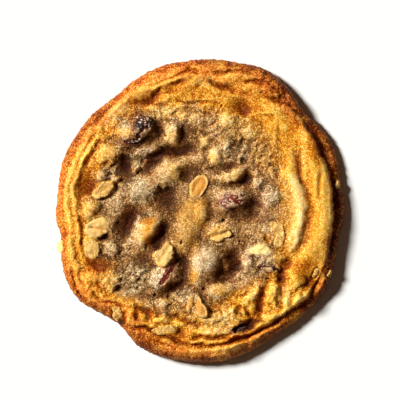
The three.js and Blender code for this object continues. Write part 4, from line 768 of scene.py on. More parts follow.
# a flat hexagon of small triangles becomes the top, and its rim is drawn down and in to the flat base
def buildDough():
    bm = bmesh.new()
    bmesh.ops.create_circle(bm, cap_ends=True, cap_tris=True, segments=6, radius=1)
    bmesh.ops.subdivide_edges(bm, edges=bm.edges[:], cuts=dough["rings"] - 1, use_grid_fill=True)
    level = bm.verts.layers.int.new("level")
    rim = [e for e in bm.edges if e.is_boundary]
    for step in range(1, len(dough["side"]) + 1):
        grown = bmesh.ops.extrude_edge_only(bm, edges=rim)["geom"]
        for v in grown:
            if isinstance(v, bmesh.types.BMVert):
                v[level] = step
        rim = [e for e in grown if isinstance(e, bmesh.types.BMEdge) and e.is_boundary]
    base = bmesh.ops.contextual_create(bm, geom=rim)["faces"]

    flat = np.array([v.co[:] for v in bm.verts])
    levels = np.array([v[level] for v in bm.verts])
    reach, angle = discPoint(flat)
    outline = closedRadius(dough["outline"], angle)
    insets = np.array([dough["edgeInset"]] + [inset for inset, share in dough["side"]])
    shares = np.array([1.0] + [share for inset, share in dough["side"]])
    top = levels == 0
    radius = np.where(top, reach * (outline - dough["edgeInset"]), outline - insets[levels])
    x, y = radius * np.cos(angle), radius * np.sin(angle)
    # the side's height comes from the top's last ring in the same direction
    ringX = np.where(top, x, (outline - dough["edgeInset"]) * np.cos(angle))
    ringY = np.where(top, y, (outline - dough["edgeInset"]) * np.sin(angle))
    form = surface(ringX, ringY)
    z = form["z"] + fineRelief(ringX, ringY, form)
    # sugary edge: the crumb pushes in and out as well as up and down
    along = angle * 57
    push = 0.3 * softNoise(along, z * shares[levels] * 2, 2.2, 5) + 0.15 * softNoise(along, z, 1.1, 6)
    grip = np.where(top, smoothStep(-form["fromRim"], -2.5, -dough["edgeInset"]), 1.0)
    x, y = x + push * grip * np.cos(angle), y + push * grip * np.sin(angle)
    z = z * shares[levels]
    for v, place in zip(bm.verts, np.stack([x, y, z], 1) * mm):
        v.co = place
    bmesh.ops.recalc_face_normals(bm, faces=bm.faces[:])
    for face in bm.faces:
        face.smooth = True
    for face in base:
        face.smooth = False
    bm.verts.layers.int.remove(level)
    piece = newPiece(bm, "cookie_dough")

    mesh = piece.data
    ends = np.empty(2 * len(mesh.edges), dtype=np.int32)
    mesh.edges.foreach_get("vertices", ends)
    ends = ends.reshape(-1, 2)
    near = softened(z, ends, dough["nearRounds"])
    wide = softened(near, ends, dough["wideRounds"])
    underside = levels >= dough["undersideStep"]
    for name, values in zoneMarks(ringX, ringY, z, form, near, wide, underside).items():
        mesh.attributes.new(name, "FLOAT", "POINT").data.foreach_set("value", values.astype(np.float32))
    return piece


# rolled oats that show: those that the dough hides are lumps of the dough itself
oats = {
    "thickness": 2.0,
    "breakThrough": 0.85,   # how far a flake stands out of the dough that hugs it
    "ragged": 0.08,         # how far its edge strays, as a share of its radius
    "waves": 0.18,          # height of the waves in a flake's top
    "crinkle": 0.12,        # height of its finer crinkle
    "detail": 5,            # icosphere subdivisions of a flake
    # centre, height above the dough, crease (depth, from, to), how far one side cups up (height, direction
    # in degrees), tone at the middle and at the edge (0 cream, 1 toasted), film of dough over it (0 bare,
    # 1 covered), points round the edge
    "flakes": [
        { "centre": (-0.6, 9.5), "proud": 1.0, "crease": (0.3, (-2.5, 8), (-0.3, 12)), "cup": (0.6, -15),
         "tone": (1.3, 0.5), "film": 0.2,
         "edge": [(-3.9, 6.2), (-4.3, 9), (-3.2, 12), (-0.6, 14), (1.9, 14.3), (3.1, 12.3), (2.8, 9.5),
                  (1.4, 7), (-0.6, 5.2), (-2.6, 5)]},
        { "centre": (-41, -6.8), "proud": 1.3, "crease": (0.5, (-44, -6.6), (-36.5, -7.7)), "cup": (0.0, 0),
         "tone": (0.5, 0.25), "film": 0.25,
         "edge": [(-46, -8.6), (-45.7, -6), (-43.5, -4.3), (-41, -2.9), (-38.4, -2.6), (-36.5, -4.2),
                  (-35.9, -6.5), (-36.6, -8.3), (-39, -9.9), (-41.5, -11), (-44, -11.2), (-45.7, -10.2)]},
        { "centre": (-43, -15.3), "proud": 1.1, "crease": (0.1, (-43.5, -13), (-43, -17.5)),
         "cup": (0.2, 190), "tone": (0.5, 0.3), "film": 0.55,
         "edge": [(-46.4, -14.5), (-46, -12.3), (-43.5, -11.6), (-41, -12.5), (-39.9, -15), (-40.4, -17.6),
                  (-42.4, -19.7), (-44.6, -19), (-46, -17)]},
        { "centre": (-55.6, -14.3), "proud": 0.9, "crease": (0.1, (-56, -15), (-55, -13.5)),
         "cup": (0.0, 0), "tone": (0.1, 0.1), "film": 0.1,
         "edge": [(-57.3, -16), (-57.4, -14), (-56.2, -12.2), (-54.4, -11.8), (-53.5, -13.5), (-54, -15.6),
                  (-55.8, -17)]},
        { "centre": (-38.7, 8.2), "proud": 0.7, "crease": (0.25, (-41.5, 6.3), (-36, 9.8)),
         "cup": (0.3, 130), "tone": (0.6, 0.35), "film": 0.6,
         "edge": [(-43.2, 6.5), (-40.7, 9.3), (-37.6, 11.7), (-35, 11.7), (-34.4, 9.6), (-36, 6.9),
                  (-39.5, 5), (-41.6, 4.5)]},
        { "centre": (-14.2, -17.5), "proud": 1.2, "crease": (0.35, (-16.2, -20.5), (-12.8, -15)),
         "cup": (0.3, 140), "tone": (0.35, 0.2), "film": 0.3,
         "edge": [(-13, -12.6), (-11.2, -13.8), (-10.4, -16.8), (-11.8, -20.2), (-14.2, -22.6),
                  (-16.2, -22.6), (-17.6, -20.6), (-18.9, -18.6), (-17.8, -16.4), (-15.5, -15.6),
                  (-14.4, -13.8)]},
        { "centre": (7.6, -9.8), "proud": 0.6, "crease": (1.0, (4, -10.6), (10.5, -8.8)), "cup": (0.3, 100),
         "tone": (0.35, 0.2), "film": 0.6,
         "edge": [(3.2, -9.6), (4.6, -8.2), (7, -8), (9.6, -7.2), (12.2, -8.4), (12.2, -10.2), (9.8, -11),
                  (8, -12.4), (6, -12.1), (4, -11.4)]},
        { "centre": (23.8, -15.9), "proud": 1.6, "crease": (0.1, (21, -16.5), (26.5, -15.5)),
         "cup": (0.3, 100), "tone": (0.0, 0.0), "film": 0.0,
         "edge": [(19.1, -16.6), (21, -14.9), (23.6, -13.6), (26.2, -13.8), (28.2, -15.6), (27.4, -17.2),
                  (25, -17.7), (21.8, -17.7)]},
        { "centre": (-1.2, -38), "proud": 1.3, "crease": (1.0, (-1.6, -34.6), (-2.6, -40.2)),
         "cup": (0.5, 20), "tone": (1.0, 0.6), "film": 0.25,
         "edge": [(-5.1, -36.9), (-4.2, -34.8), (-2.4, -33.9), (-0.3, -34.6), (1, -37), (2.6, -39.3),
                  (3.2, -41.6), (1.6, -42.9), (-1, -41.8), (-3, -40.6), (-5.2, -39.4)]},
        { "centre": (29.3, -6.8), "proud": 0.6, "crease": (0.2, (29, -5), (29.4, -9)), "cup": (0.2, 0),
         "tone": (0.25, 0.1), "film": 0.75,
         "edge": [(28.2, -4.6), (29.8, -4.2), (30.6, -6.5), (30.2, -9.2), (28.9, -9.6), (28.1, -7.2)]},
        { "centre": (31.6, -9.6), "proud": 0.7, "crease": (0.3, (31.6, -6), (31.6, -13.5)), "cup": (0.3, 0),
         "tone": (0.25, 0.1), "film": 0.75,
         "edge": [(30.6, -5), (32.4, -4.6), (33.3, -8), (33.3, -12), (32, -14.8), (30.2, -14.4),
                  (30.4, -10)]},
        { "centre": (-33, -41), "proud": 0.7, "crease": (0.2, (-33.2, -39.5), (-32.8, -43)),
         "cup": (0.0, 0), "tone": (0.4, 0.3), "film": 0.8,
         "edge": [(-35, -39), (-32.7, -38.4), (-31.2, -40.5), (-31.8, -43), (-33.6, -44.4), (-34.8, -42.6),
                  (-34.6, -40.6)]},
        { "centre": (-14, -47.6), "proud": 0.7, "crease": (0.2, (-17, -48), (-11, -47)), "cup": (0.2, 100),
         "tone": (0.3, 0.15), "film": 0.8,
         "edge": [(-19.4, -48), (-17, -46.7), (-14, -45.9), (-11, -45.6), (-8.8, -47), (-10.4, -48.9),
                  (-14, -49.7), (-17.5, -49.3)]},
        { "centre": (46.4, -25), "proud": 0.5, "crease": (0.1, (45.8, -26), (47, -24)), "cup": (0.0, 0),
         "tone": (0.6, 0.5), "film": 0.95,
         "edge": [(44.9, -26.8), (45.3, -25), (46.3, -23.2), (47.6, -22.9), (47.6, -24.6), (46.4, -26.6)]},
        { "centre": (51.6, -25.2), "proud": 0.7, "crease": (0.1, (51.3, -26), (52, -24.6)), "cup": (0.0, 0),
         "tone": (0.6, 0.4), "film": 0.8,
         "edge": [(50.8, -26.6), (51, -25), (51.8, -23.8), (52.5, -24), (52.3, -25.6), (51.5, -26.8)]},
        { "centre": (55, 10.3), "proud": 0.8, "crease": (0.1, (55, 9.5), (55, 11.5)), "cup": (0.0, 0),
         "tone": (0.5, 0.4), "film": 0.1,
         "edge": [(54.2, 9), (54.2, 11), (55.2, 12.2), (55.9, 11), (55.9, 9.3), (55, 8.6)]},
    ],
}


# lays a flake on the slope of the dough under it
def slopeTurn(x, y, reach=2.5):
    slopeX = (topHeight(x + reach, y) - topHeight(x - reach, y)) / (2 * reach)
    slopeY = (topHeight(x, y + reach) - topHeight(x, y - reach)) / (2 * reach)
    normal = Vector((-slopeX, -slopeY, 1)).normalized()
    return Vector((0, 0, 1)).rotation_difference(normal).to_matrix().to_4x4()


def distanceToLine(x, y, start, end):
    dx, dy = end[0] - start[0], end[1] - start[1]
    t = np.clip(((x - start[0]) * dx + (y - start[1]) * dy) / (dx * dx + dy * dy), 0, 1)
    return np.hypot(x - start[0] - t * dx, y - start[1] - t * dy)


def buildOats():
    bm = bmesh.new()
    tone = bm.verts.layers.float.new("tone")
    film = bm.verts.layers.float.new("film")
    grainLine = bm.verts.layers.float_vector.new("flake")
    for number, flake in enumerate(oats["flakes"]):
        cx, cy = flake["centre"]
        made = bmesh.ops.create_icosphere(bm, subdivisions=oats["detail"], radius=1)["verts"]
        unit = np.array([v.co[:] for v in made])
        angle, reach = np.arctan2(unit[:, 1], unit[:, 0]), np.hypot(unit[:, 0], unit[:, 1])
        spokes = [(px - cx, py - cy) for px, py in flake["edge"]]
        ragged = 1 + oats["ragged"] * softNoise(3 * np.cos(angle), 3 * np.sin(angle), 1.2, number)
        radius = closedRadius(spokes, angle) * ragged
        x, y = reach * radius * np.cos(angle), reach * radius * np.sin(angle)
        upper = unit[:, 2] > 0
        z = np.sign(unit[:, 2]) * np.abs(unit[:, 2]) ** 0.7 * oats["thickness"] / 2
        depth, start, end = flake["crease"]
        gap = distanceToLine(x + cx + 0.3 * softNoise(x, y, 1.5, 17 + number), y + cy, start, end)
        z = z - upper * depth * (np.exp(-(gap / 0.7) ** 1.5) + 0.5 * (1 - smoothStep(gap, 0, 3.2)))
        lift, direction = flake["cup"]
        facing = np.cos(angle - math.radians(direction))
        z = z + lift * smoothStep(reach * (0.5 + 0.5 * facing), 0.45, 1.0)
        waves = oats["waves"] * softNoise(x + number, y, 2.4, 7)
        crinkle = oats["crinkle"] * clumps(x, y + number, 1.3, 8)
        z = z + upper * (waves + crinkle)
        edgeTone = smoothStep(reach, 0.5, 0.95)
        inner, outer = flake["tone"]
        # toasted tone, with the crease painted darker as painted shade
        tonesAndCreaseShade = inner + (outer - inner) * edgeTone + min(1, depth) * np.exp(-(gap / 0.4) ** 2)
        bare = (lift > 0.4) * (facing > 0.3)    # the side that stands up
        films = np.clip(flake["film"] + 0.7 * smoothStep(reach, 0.8, 1.0) - 0.7 * bare, 0, 1)
        films = films * (1 - min(1, depth) * np.exp(-(gap / 0.5) ** 2))
        for v, px, py, pz, ownTone, ownFilm in zip(made, x, y, z, tonesAndCreaseShade, films):
            v.co = (px, py, pz)
            v[tone], v[film], v[grainLine] = ownTone, ownFilm, (px, py, number * 4.0)
        place = (Matrix.Translation((cx, cy, topHeight(cx, cy) + flake["proud"] - oats["thickness"] / 2))
                 @ slopeTurn(cx, cy))
        bmesh.ops.transform(bm, matrix=Matrix.Scale(mm, 4) @ place, verts=made)
    for face in bm.faces:
        face.smooth = True
    return newPiece(bm, "oat_flakes")


# raisins, each half buried: dough lies over it as a thin skin that is open at its windows
raisins = {
    "detail": 6,
    "wrinkleDepth": 0.1,    # of a raisin's radius
    "folds": [(1.6, 0.6), (3.2, 0.3), (6.0, 0.12)],     # how fine, share of the depth
    "skin": 0.3,            # thickness of the dough over a raisin
    "windowDepth": 0.35,    # how far the dough lies below a raisin where it is bare
    "windowStray": (1.6, 0.5),      # how the dough's edge strays round a window: spacing, reach
    # form: x, y, length, width, height, turn, height of its crown above the dough round it
    # windows and the patches of dough inside them: x, y, length, width, turn
    # dust is how much sugar clings to it, and red how far light comes through its skin
    "fruit": [
        {"form": (-24.6, 32.4, 14, 9.6, 6.5, 38, 0.7), "dust": 1.2, "red": 0.1,
         "windows": [(-22.7, 35, 7.6, 6.4, -10), (-23.2, 30.8, 6, 2.4, 42), (-26.7, 27.6, 8, 2.2, 8)],
         "patches": [(-21.6, 30.4, 4.4, 3.0, 20)]},
        {"form": (12.6, 4.4, 12, 7.4, 5.5, 8, 0.35), "dust": 0.7, "red": 0.8,
         "windows": [(12.2, 4.6, 7.5, 4.0, 12), (15.6, 3.6, 4.5, 2, 5), (17.1, 6.1, 1.8, 1.3, 0),
                     (8.3, 3.2, 1.4, 2, 0), (9.8, 1.9, 2.6, 1.2, -15)],
         "patches": [(10.6, 3.8, 2.6, 0.9, -20), (14, 5.3, 2.2, 0.7, 15), (12.6, 2.7, 2, 0.7, 0)]},
        {"form": (-13.6, -24.8, 12, 6.5, 5.5, 58, 0.2), "dust": 0.3, "red": 0.9,
         "windows": [(-12.6, -24.6, 12.5, 2.2, 57)], "patches": []},
        {"form": (28, -22.8, 9.5, 4.6, 4.5, -6, 0.6), "dust": 0.3, "red": 0.3,
         "windows": [(25.6, -22.5, 4.6, 0.9, 3), (29.8, -23, 4.4, 1.1, -30), (27, -26.8, 1.4, 0.8, 0)],
         "patches": []},
        {"form": (16.6, -47.4, 8.5, 4.6, 4.2, 12, 0.5), "dust": 0.1, "red": 0.1,
         "windows": [(16.4, -47.2, 7.4, 2.8, 12)], "patches": []},
    ],
}


def buildRaisin(number, fruit):
    x, y, length, width, height, turn, proud = fruit["form"]
    bm = bmesh.new()
    made = bmesh.ops.create_icosphere(bm, subdivisions=raisins["detail"], radius=1)["verts"]
    unlikeOthers = Vector((number * 7.3, 0, 0))
    for v in made:
        p = v.co.copy()
        lengthwise = Vector((p.x * 0.7, p.y, p.z))
        folds = 0
        for size, share in raisins["folds"]:
            folds += share * abs(noise.noise(lengthwise * size + unlikeOthers))
        v.co = p * (1 - raisins["wrinkleDepth"] * (1.0 - 3.6 * folds))
        v.co.x *= length / 2
        v.co.y *= width / 2
        v.co.z *= height / 2
    place = (Matrix.Translation((x, y, topHeight(x, y) + proud - height / 2))
             @ Matrix.Rotation(math.radians(turn), 4, "Z"))
    bmesh.ops.transform(bm, matrix=Matrix.Scale(mm, 4) @ place, verts=made)
    for face in bm.faces:
        face.smooth = True
    piece = newPiece(bm, f"raisin_skin_{number}")
    for mark in ("dust", "red"):
        values = piece.data.attributes.new(mark, "FLOAT", "POINT").data
        values.foreach_set("value", [fruit[mark]] * len(values))
    return piece


# an sRGB hex colour as the linear one that Blender computes with
def linear(hexColour):
    parts = [int(hexColour[i:i + 2], 16) / 255 for i in (1, 3, 5)]
    return tuple(c / 12.92 if c <= 0.04045 else ((c + 0.055) / 1.055) ** 2.4 for c in parts) + (1.0,)


# a texture's scale from the real size of what it draws, in mm
def perMetre(size):
    return 1000 / size


# inputs take a value, a hex colour or the socket that is linked to them
def addNode(tree, kind, inputs=None, ramp=None, **settings):
    made = tree.nodes.new(kind)
    for name, value in settings.items():
        setattr(made, name, value)
    for name, value in (inputs or {}).items():
        if isinstance(value, bpy.types.NodeSocket):
            tree.links.new(value, made.inputs[name])
        else:
            made.inputs[name].default_value = linear(value) if isinstance(value, str) else value
    for index, (position, hexColour) in enumerate(ramp or []):
        stops = made.color_ramp.elements
        stop = stops[index] if index < len(stops) else stops.new(position)
        stop.position, stop.color = position, linear(hexColour)
    return made


def newMaterial(name):
    made = bpy.data.materials.new(name)
    made.use_nodes = True
    tree = made.node_tree
    tree.nodes.clear()
    shader = addNode(tree, "ShaderNodeBsdfPrincipled")
    addNode(tree, "ShaderNodeOutputMaterial", {"Surface": shader.outputs[0]})
    return made, tree, shader


# sugar grains standing in the crumb: how light each is, from 0 to 1, and how high it stands; each is
# lighter at its crown and darker where it meets the next, as painted highlight and painted shade
def sugarGrains(tree, coords, size):
    crystals = addNode(tree, "ShaderNodeTexVoronoi", {"Vector": coords, "Scale": perMetre(size)})
    own = addNode(tree, "ShaderNodeSeparateColor", {0: crystals.outputs["Color"]}).outputs[0]
    domes = addNode(tree, "ShaderNodeMapRange",
                    {0: crystals.outputs["Distance"], 1: 0.1, 2: 0.65, 3: 1.0, 4: 0.0})
    rare = addNode(tree, "ShaderNodeMath", {0: own, 1: 2.0}, operation="POWER").outputs[0]
    light = addNode(tree, "ShaderNodeMix", {0: 0.3, 2: rare, 3: domes.outputs[0]}).outputs[0]
    height = addNode(tree, "ShaderNodeMath", {0: domes.outputs[0], 1: own}, operation="MULTIPLY").outputs[0]
    return light, height


doughLook = {
    # each zone from the dark of its clefts to its brightest crystals, laid over one another in this order
    "zones": {
        "golden": [(0.08, "#924206"), (0.35, "#C87E14"), (0.6, "#EAB63E"), (0.92, "#FADE86")],
        # amber is partly painted shade along creases and shaded slopes
        "amber": [(0.08, "#782F05"), (0.35, "#B2600E"), (0.6, "#D68A24"), (0.92, "#F4C464")],
        "sandy": [(0.08, "#54341A"), (0.35, "#8E6436"), (0.6, "#BC9058"), (0.92, "#EED8AC")],
        "butter": [(0.08, "#A25C18"), (0.35, "#D29A3E"), (0.6, "#EEC876"), (0.92, "#FAECC0")],
        "pink": [(0.08, "#5C341C"), (0.35, "#A0764E"), (0.6, "#CCA67A"), (0.92, "#F6E4C8")],
        "ash": [(0.08, "#42321C"), (0.35, "#88724C"), (0.6, "#BEA880"), (0.92, "#F0E8D4")],
        "warm": [(0.08, "#643408"), (0.35, "#AC7830"), (0.6, "#D8A84C"), (0.92, "#F4DEA0")],
        "honey": [(0.08, "#7A3E06"), (0.35, "#B67014"), (0.6, "#DC9826"), (0.92, "#F6CE7A")],
        # painted shadow in the valleys beside the lumps
        "paintedShadow": [(0.08, "#2A0E04"), (0.35, "#542608"), (0.6, "#7C4416"), (0.92, "#B07C44")],
        # raisin juice round the windows, partly painted shade over their lit edges
        "stainedAndShaded": [(0.08, "#2A0A06"), (0.35, "#5E2C1C"), (0.6, "#8E5A44"), (0.92, "#CDAA94")],
        "toast": [(0.08, "#7A2C06"), (0.35, "#B04E0C"), (0.6, "#CC6A18"), (0.92, "#F6AC54")],
        # burnt edge, partly painted shade on the side turned from the key light
        "charAndShade": [(0.08, "#260A04"), (0.35, "#521C06"), (0.65, "#863E10"), (0.92, "#CC762C")],
        # painted shade in the hollows of the ring and of the middle
        "ringPaintedShade": [(0.08, "#481803"), (0.35, "#803A07"), (0.6, "#A95D11"), (0.92, "#D59544")],
        "middlePaintedShade": [(0.08, "#2A0C03"), (0.35, "#522408"), (0.6, "#783E12"), (0.92, "#AC7436")],
    },
    "speck": "#2A1206",
    "speckSize": 0.9,       # mm between specks of bran, drawn coarser than real ones so that they show
    "grain": 0.42,          # mm between sugar grains, drawn larger than real ones so that they show
    "grainHeight": 0.16,    # mm
    "roughness": 0.6,
    "wetRoughness": 0.42,   # of the brightest crystals
    "specular": 0.08,       # dry crumb hardly mirrors anything
    "subsurface": 0.4,      # light goes a little way into buttery dough, red the furthest
    "subsurfaceReach": (1.0, 0.4, 0.12),
    "subsurfaceDepth": 1.6,     # mm
}


# butter dough with brown sugar: matt and sandy, golden where it spread thin, browned at its edge
def bakedDough():
    look = doughLook
    made, tree, shader = newMaterial("butter cookie dough, baked")
    coords = addNode(tree, "ShaderNodeTexCoord").outputs["Object"]
    marks = {name: addNode(tree, "ShaderNodeAttribute", attribute_name=name).outputs["Fac"]
             for name in ("shade", "grain", *look["zones"])}
    grain, height = sugarGrains(tree, coords, look["grain"])
    offset = addNode(tree, "ShaderNodeMath", {0: grain, 1: 0.4}, operation="SUBTRACT").outputs[0]
    shade = addNode(tree, "ShaderNodeMath", {0: offset, 1: marks["grain"], 2: marks["shade"]},
                    operation="MULTIPLY_ADD").outputs[0]
    colour = None
    for zone, ramp in look["zones"].items():
        own = addNode(tree, "ShaderNodeValToRGB", {0: shade}, ramp=ramp).outputs[0]
        if colour:
            own = addNode(tree, "ShaderNodeMix", {0: marks[zone], 6: colour, 7: own},
                          data_type="RGBA").outputs[2]
        colour = own
    # dark specks of bran and burnt sugar
    scatter = addNode(tree, "ShaderNodeTexNoise",
                      {"Vector": coords, "Scale": perMetre(look["speckSize"]), "Detail": 0.0}).outputs[0]
    most = addNode(tree, "ShaderNodeMapRange", {0: marks["sandy"], 3: 0.3, 4: 0.6}).outputs[0]
    speck = addNode(tree, "ShaderNodeMapRange", {0: scatter, 1: 0.7, 2: 0.76, 4: most}).outputs[0]
    colour = addNode(tree, "ShaderNodeMix", {0: speck, 6: colour, 7: look["speck"]},
                     data_type="RGBA").outputs[2]
    strength = addNode(tree, "ShaderNodeMapRange", {0: marks["sandy"], 3: 0.6, 4: 1.0}).outputs[0]
    bump = addNode(tree, "ShaderNodeBump", {"Height": height, "Distance": look["grainHeight"] * mm,
                                            "Strength": strength})
    shine = addNode(tree, "ShaderNodeMapRange", {0: grain, 1: 0.6, 2: 0.95, 3: look["roughness"],
                                                 4: look["wetRoughness"]}).outputs[0]
    tree.links.new(colour, shader.inputs["Base Color"])
    tree.links.new(bump.outputs[0], shader.inputs["Normal"])
    tree.links.new(shine, shader.inputs["Roughness"])
    shader.inputs["Specular IOR Level"].default_value = look["specular"]
    shader.inputs["Subsurface Weight"].default_value = look["subsurface"]
    shader.inputs["Subsurface Radius"].default_value = look["subsurfaceReach"]
    shader.inputs["Subsurface Scale"].default_value = look["subsurfaceDepth"] * mm
    return made


oatLook = {
    "cream": "#FFF2B2",
    "toasted": "#BA7434",
    "fibre": "#DCA848",
    "film": [(0.1, "#A06E2A"), (0.4, "#E2B65E"), (0.7, "#F4D07A"), (0.95, "#FEEFBC")],
    "fibreLength": 2.0,     # mm
    "fibreSpacing": 0.556,  # mm, coarser than real ones so that they show
    "mottle": 1.8,          # mm across a patch of the film
    "grain": 0.55,          # mm between sugar grains, larger than real ones so that they show
    "relief": 0.25,         # mm, of fibres and grains
    "roughness": 0.6,
    "specular": 0.15,
}


# a steamed and rolled oat, baked: cream and finely fibrous, under a film of the dough
def rolledOat():
    look = oatLook
    made, tree, shader = newMaterial("rolled oat flake, baked")
    coords = addNode(tree, "ShaderNodeTexCoord").outputs["Object"]
    tone = addNode(tree, "ShaderNodeAttribute", attribute_name="tone").outputs["Fac"]
    film = addNode(tree, "ShaderNodeAttribute", attribute_name="film").outputs["Fac"]
    flake = addNode(tree, "ShaderNodeAttribute", attribute_name="flake").outputs["Vector"]
    # the flake attribute holds millimetres
    perMillimetre = (1 / look["fibreLength"], 1 / look["fibreSpacing"], 1.0)
    stretched = addNode(tree, "ShaderNodeMapping", {"Vector": flake, "Scale": perMillimetre}).outputs[0]
    fibres = addNode(tree, "ShaderNodeTexNoise",
                     {"Vector": stretched, "Scale": 1.0, "Detail": 3.0}).outputs[0]
    grain, height = sugarGrains(tree, coords, look["grain"])
    mottle = addNode(tree, "ShaderNodeTexNoise",
                     {"Vector": coords, "Scale": perMetre(look["mottle"])}).outputs[0]
    colour = addNode(tree, "ShaderNodeMix", {0: tone, 6: look["cream"], 7: look["toasted"]},
                     data_type="RGBA").outputs[2]
    for pattern, most in ((fibres, 0.5), (mottle, 0.35)):
        share = addNode(tree, "ShaderNodeMapRange", {0: pattern, 1: 0.6, 2: 0.35, 4: most}).outputs[0]
        colour = addNode(tree, "ShaderNodeMix", {0: share, 6: colour, 7: look["fibre"]},
                         data_type="RGBA").outputs[2]
    ragged = addNode(tree, "ShaderNodeMapRange", {0: mottle, 1: 0.3, 2: 0.7, 3: -0.3, 4: 0.3}).outputs[0]
    covered = addNode(tree, "ShaderNodeMath", {0: film, 1: ragged},
                      operation="ADD", use_clamp=True).outputs[0]
    crumb = addNode(tree, "ShaderNodeValToRGB", {0: grain}, ramp=look["film"]).outputs[0]
    colour = addNode(tree, "ShaderNodeMix", {0: covered, 6: colour, 7: crumb},
                     data_type="RGBA").outputs[2]
    rise = addNode(tree, "ShaderNodeMix", {0: covered, 2: fibres, 3: height}).outputs[0]
    bump = addNode(tree, "ShaderNodeBump", {"Height": rise, "Distance": look["relief"] * mm})
    tree.links.new(colour, shader.inputs["Base Color"])
    tree.links.new(bump.outputs[0], shader.inputs["Normal"])
    shader.inputs["Roughness"].default_value = look["roughness"]
    shader.inputs["Specular IOR Level"].default_value = look["specular"]
    return made


raisinLook = {
    "dark": "#200A06",
    "red": "#7C2810",
    "sugar": "#E6D2C0",
    "roughness": 0.42,
    "dustRoughness": 0.6,
    "patches": 2.6,         # mm across a patch of redder skin or gathered sugar
    "creases": 0.7,         # mm between the finest creases
    "grain": 0.75,          # mm between clots of sugar
    "relief": 0.22,         # mm
}


# a dried grape: dark, sticky and wrinkled, red where light comes through its skin, dusted with sugar
def driedGrape():
    look = raisinLook
    made, tree, shader = newMaterial("dried grape skin, sticky")
    coords = addNode(tree, "ShaderNodeTexCoord").outputs["Object"]
    dusted = addNode(tree, "ShaderNodeAttribute", attribute_name="dust").outputs["Fac"]
    patches = addNode(tree, "ShaderNodeTexNoise",
                      {"Vector": coords, "Scale": perMetre(look["patches"])}).outputs[0]
    fine = addNode(tree, "ShaderNodeTexNoise",
                   {"Vector": coords, "Scale": perMetre(look["creases"])}).outputs[0]
    grain, height = sugarGrains(tree, coords, look["grain"])
    redness = addNode(tree, "ShaderNodeAttribute", attribute_name="red").outputs["Fac"]
    uneven = addNode(tree, "ShaderNodeMapRange", {0: patches, 1: 0.3, 2: 0.7, 3: -0.4, 4: 0.4}).outputs[0]
    reddened = addNode(tree, "ShaderNodeMath", {0: redness, 1: uneven},
                       operation="ADD", use_clamp=True).outputs[0]
    colour = addNode(tree, "ShaderNodeMix", {0: reddened, 6: look["dark"], 7: look["red"]},
                     data_type="RGBA").outputs[2]
    gathered = addNode(tree, "ShaderNodeMapRange", {0: patches, 1: 0.35, 2: 0.6, 3: 0.2, 4: 1.4}).outputs[0]
    crystals = addNode(tree, "ShaderNodeMapRange", {0: grain, 1: 0.5, 2: 0.75, 4: gathered}).outputs[0]
    dust = addNode(tree, "ShaderNodeMath", {0: crystals, 1: dusted},
                   operation="MULTIPLY", use_clamp=True).outputs[0]
    colour = addNode(tree, "ShaderNodeMix", {0: dust, 6: colour, 7: look["sugar"]},
                     data_type="RGBA").outputs[2]
    rise = addNode(tree, "ShaderNodeMath", {0: dust, 1: fine}, operation="ADD").outputs[0]
    bump = addNode(tree, "ShaderNodeBump", {"Height": rise, "Distance": look["relief"] * mm})
    shine = addNode(tree, "ShaderNodeMapRange", {0: dust, 2: 0.6, 3: look["roughness"],
                                                 4: look["dustRoughness"]}).outputs[0]
    tree.links.new(colour, shader.inputs["Base Color"])
    tree.links.new(bump.outputs[0], shader.inputs["Normal"])
    tree.links.new(shine, shader.inputs["Roughness"])
    return made


doughPiece = buildDough()
doughPiece.data.materials.append(bakedDough())
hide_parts("cookie")
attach(doughPiece, "root")
print("dough:", len(doughPiece.data.polygons), "faces")

oatPiece = buildOats()
oatPiece.data.materials.append(rolledOat())
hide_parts("cookie")
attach(oatPiece, "root")
print("oats:", len(oats["flakes"]), "flakes")

raisinMaterial = driedGrape()
for number, fruit in enumerate(raisins["fruit"], 1):
    piece = buildRaisin(number, fruit)
    piece.data.materials.append(raisinMaterial)
    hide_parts(f"raisin_{number}")
    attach(piece, "root")
print("raisins:", len(raisins["fruit"]))


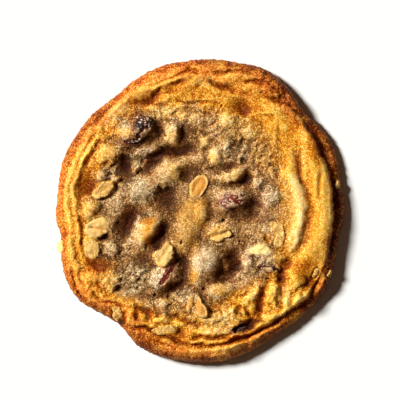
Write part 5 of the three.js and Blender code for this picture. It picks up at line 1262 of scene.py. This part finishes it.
studio = {
    "floor": "#E6EEFA",
    "floorReach": 6,        # metres each way, so that low views see no end of it
    "floorFibre": 1.5,      # mm
    "floorRelief": 0.02,    # mm
    "floorReliefStrength": 0.3,
    "floorRoughness": 0.9,
    "frameWidth": 160,      # mm across the picture
    "centre": (0, 4.2, 6),  # mm, what the camera looks straight down on
    "lens": 400,            # mm, long, so that the sides of the edge hardly show from above
    "keyDirection": 155,    # degrees round from +X: the key light stands beyond the left edge
    "keyElevation": 38,
    "keyStrength": 6.5,
    "keySoftness": 13,      # degrees across, as of a softbox some way off
    "keyColour": (1.0, 0.92, 0.79),
    "fill": 0.065,
    "fillColour": (1, 0.57, 0.31, 1),   # warm, as light sent back by wood and dough all round
}


def buildStudio():
    bm = bmesh.new()
    bmesh.ops.create_grid(bm, x_segments=1, y_segments=1, size=studio["floorReach"])
    floor = newPiece(bm, "floor")
    made, tree, shader = newMaterial("matt studio paper")
    coords = addNode(tree, "ShaderNodeTexCoord").outputs["Object"]
    fibre = addNode(tree, "ShaderNodeTexNoise",
                    {"Vector": coords, "Scale": perMetre(studio["floorFibre"])}).outputs[0]
    bump = addNode(tree, "ShaderNodeBump", {"Height": fibre, "Distance": studio["floorRelief"] * mm,
                                            "Strength": studio["floorReliefStrength"]})
    tree.links.new(bump.outputs[0], shader.inputs["Normal"])
    shader.inputs["Base Color"].default_value = linear(studio["floor"])
    shader.inputs["Roughness"].default_value = studio["floorRoughness"]
    floor.data.materials.append(made)

    key = bpy.data.objects.new("key", bpy.data.lights.new("key", "SUN"))
    key.data.energy = studio["keyStrength"]
    key.data.angle = math.radians(studio["keySoftness"])
    key.data.color = studio["keyColour"]
    key.rotation_euler = Euler((0, math.radians(90 - studio["keyElevation"]),
                                math.radians(studio["keyDirection"])))
    bpy.context.collection.objects.link(key)

    world = bpy.data.worlds.new("studio")
    world.use_nodes = True
    world.node_tree.nodes["Background"].inputs["Color"].default_value = studio["fillColour"]
    world.node_tree.nodes["Background"].inputs["Strength"].default_value = studio["fill"]
    bpy.context.scene.world = world

    camera = bpy.data.objects.new("camera", bpy.data.cameras.new("camera"))
    camera.data.lens = studio["lens"]
    away = studio["frameWidth"] * studio["lens"] / camera.data.sensor_width
    x, y, z = studio["centre"]
    camera.location = (x * mm, y * mm, (z + away) * mm)
    bpy.context.collection.objects.link(camera)
    bpy.context.scene.camera = camera
    bpy.context.scene.view_settings.view_transform = "Standard"


buildStudio()
print("studio ready")
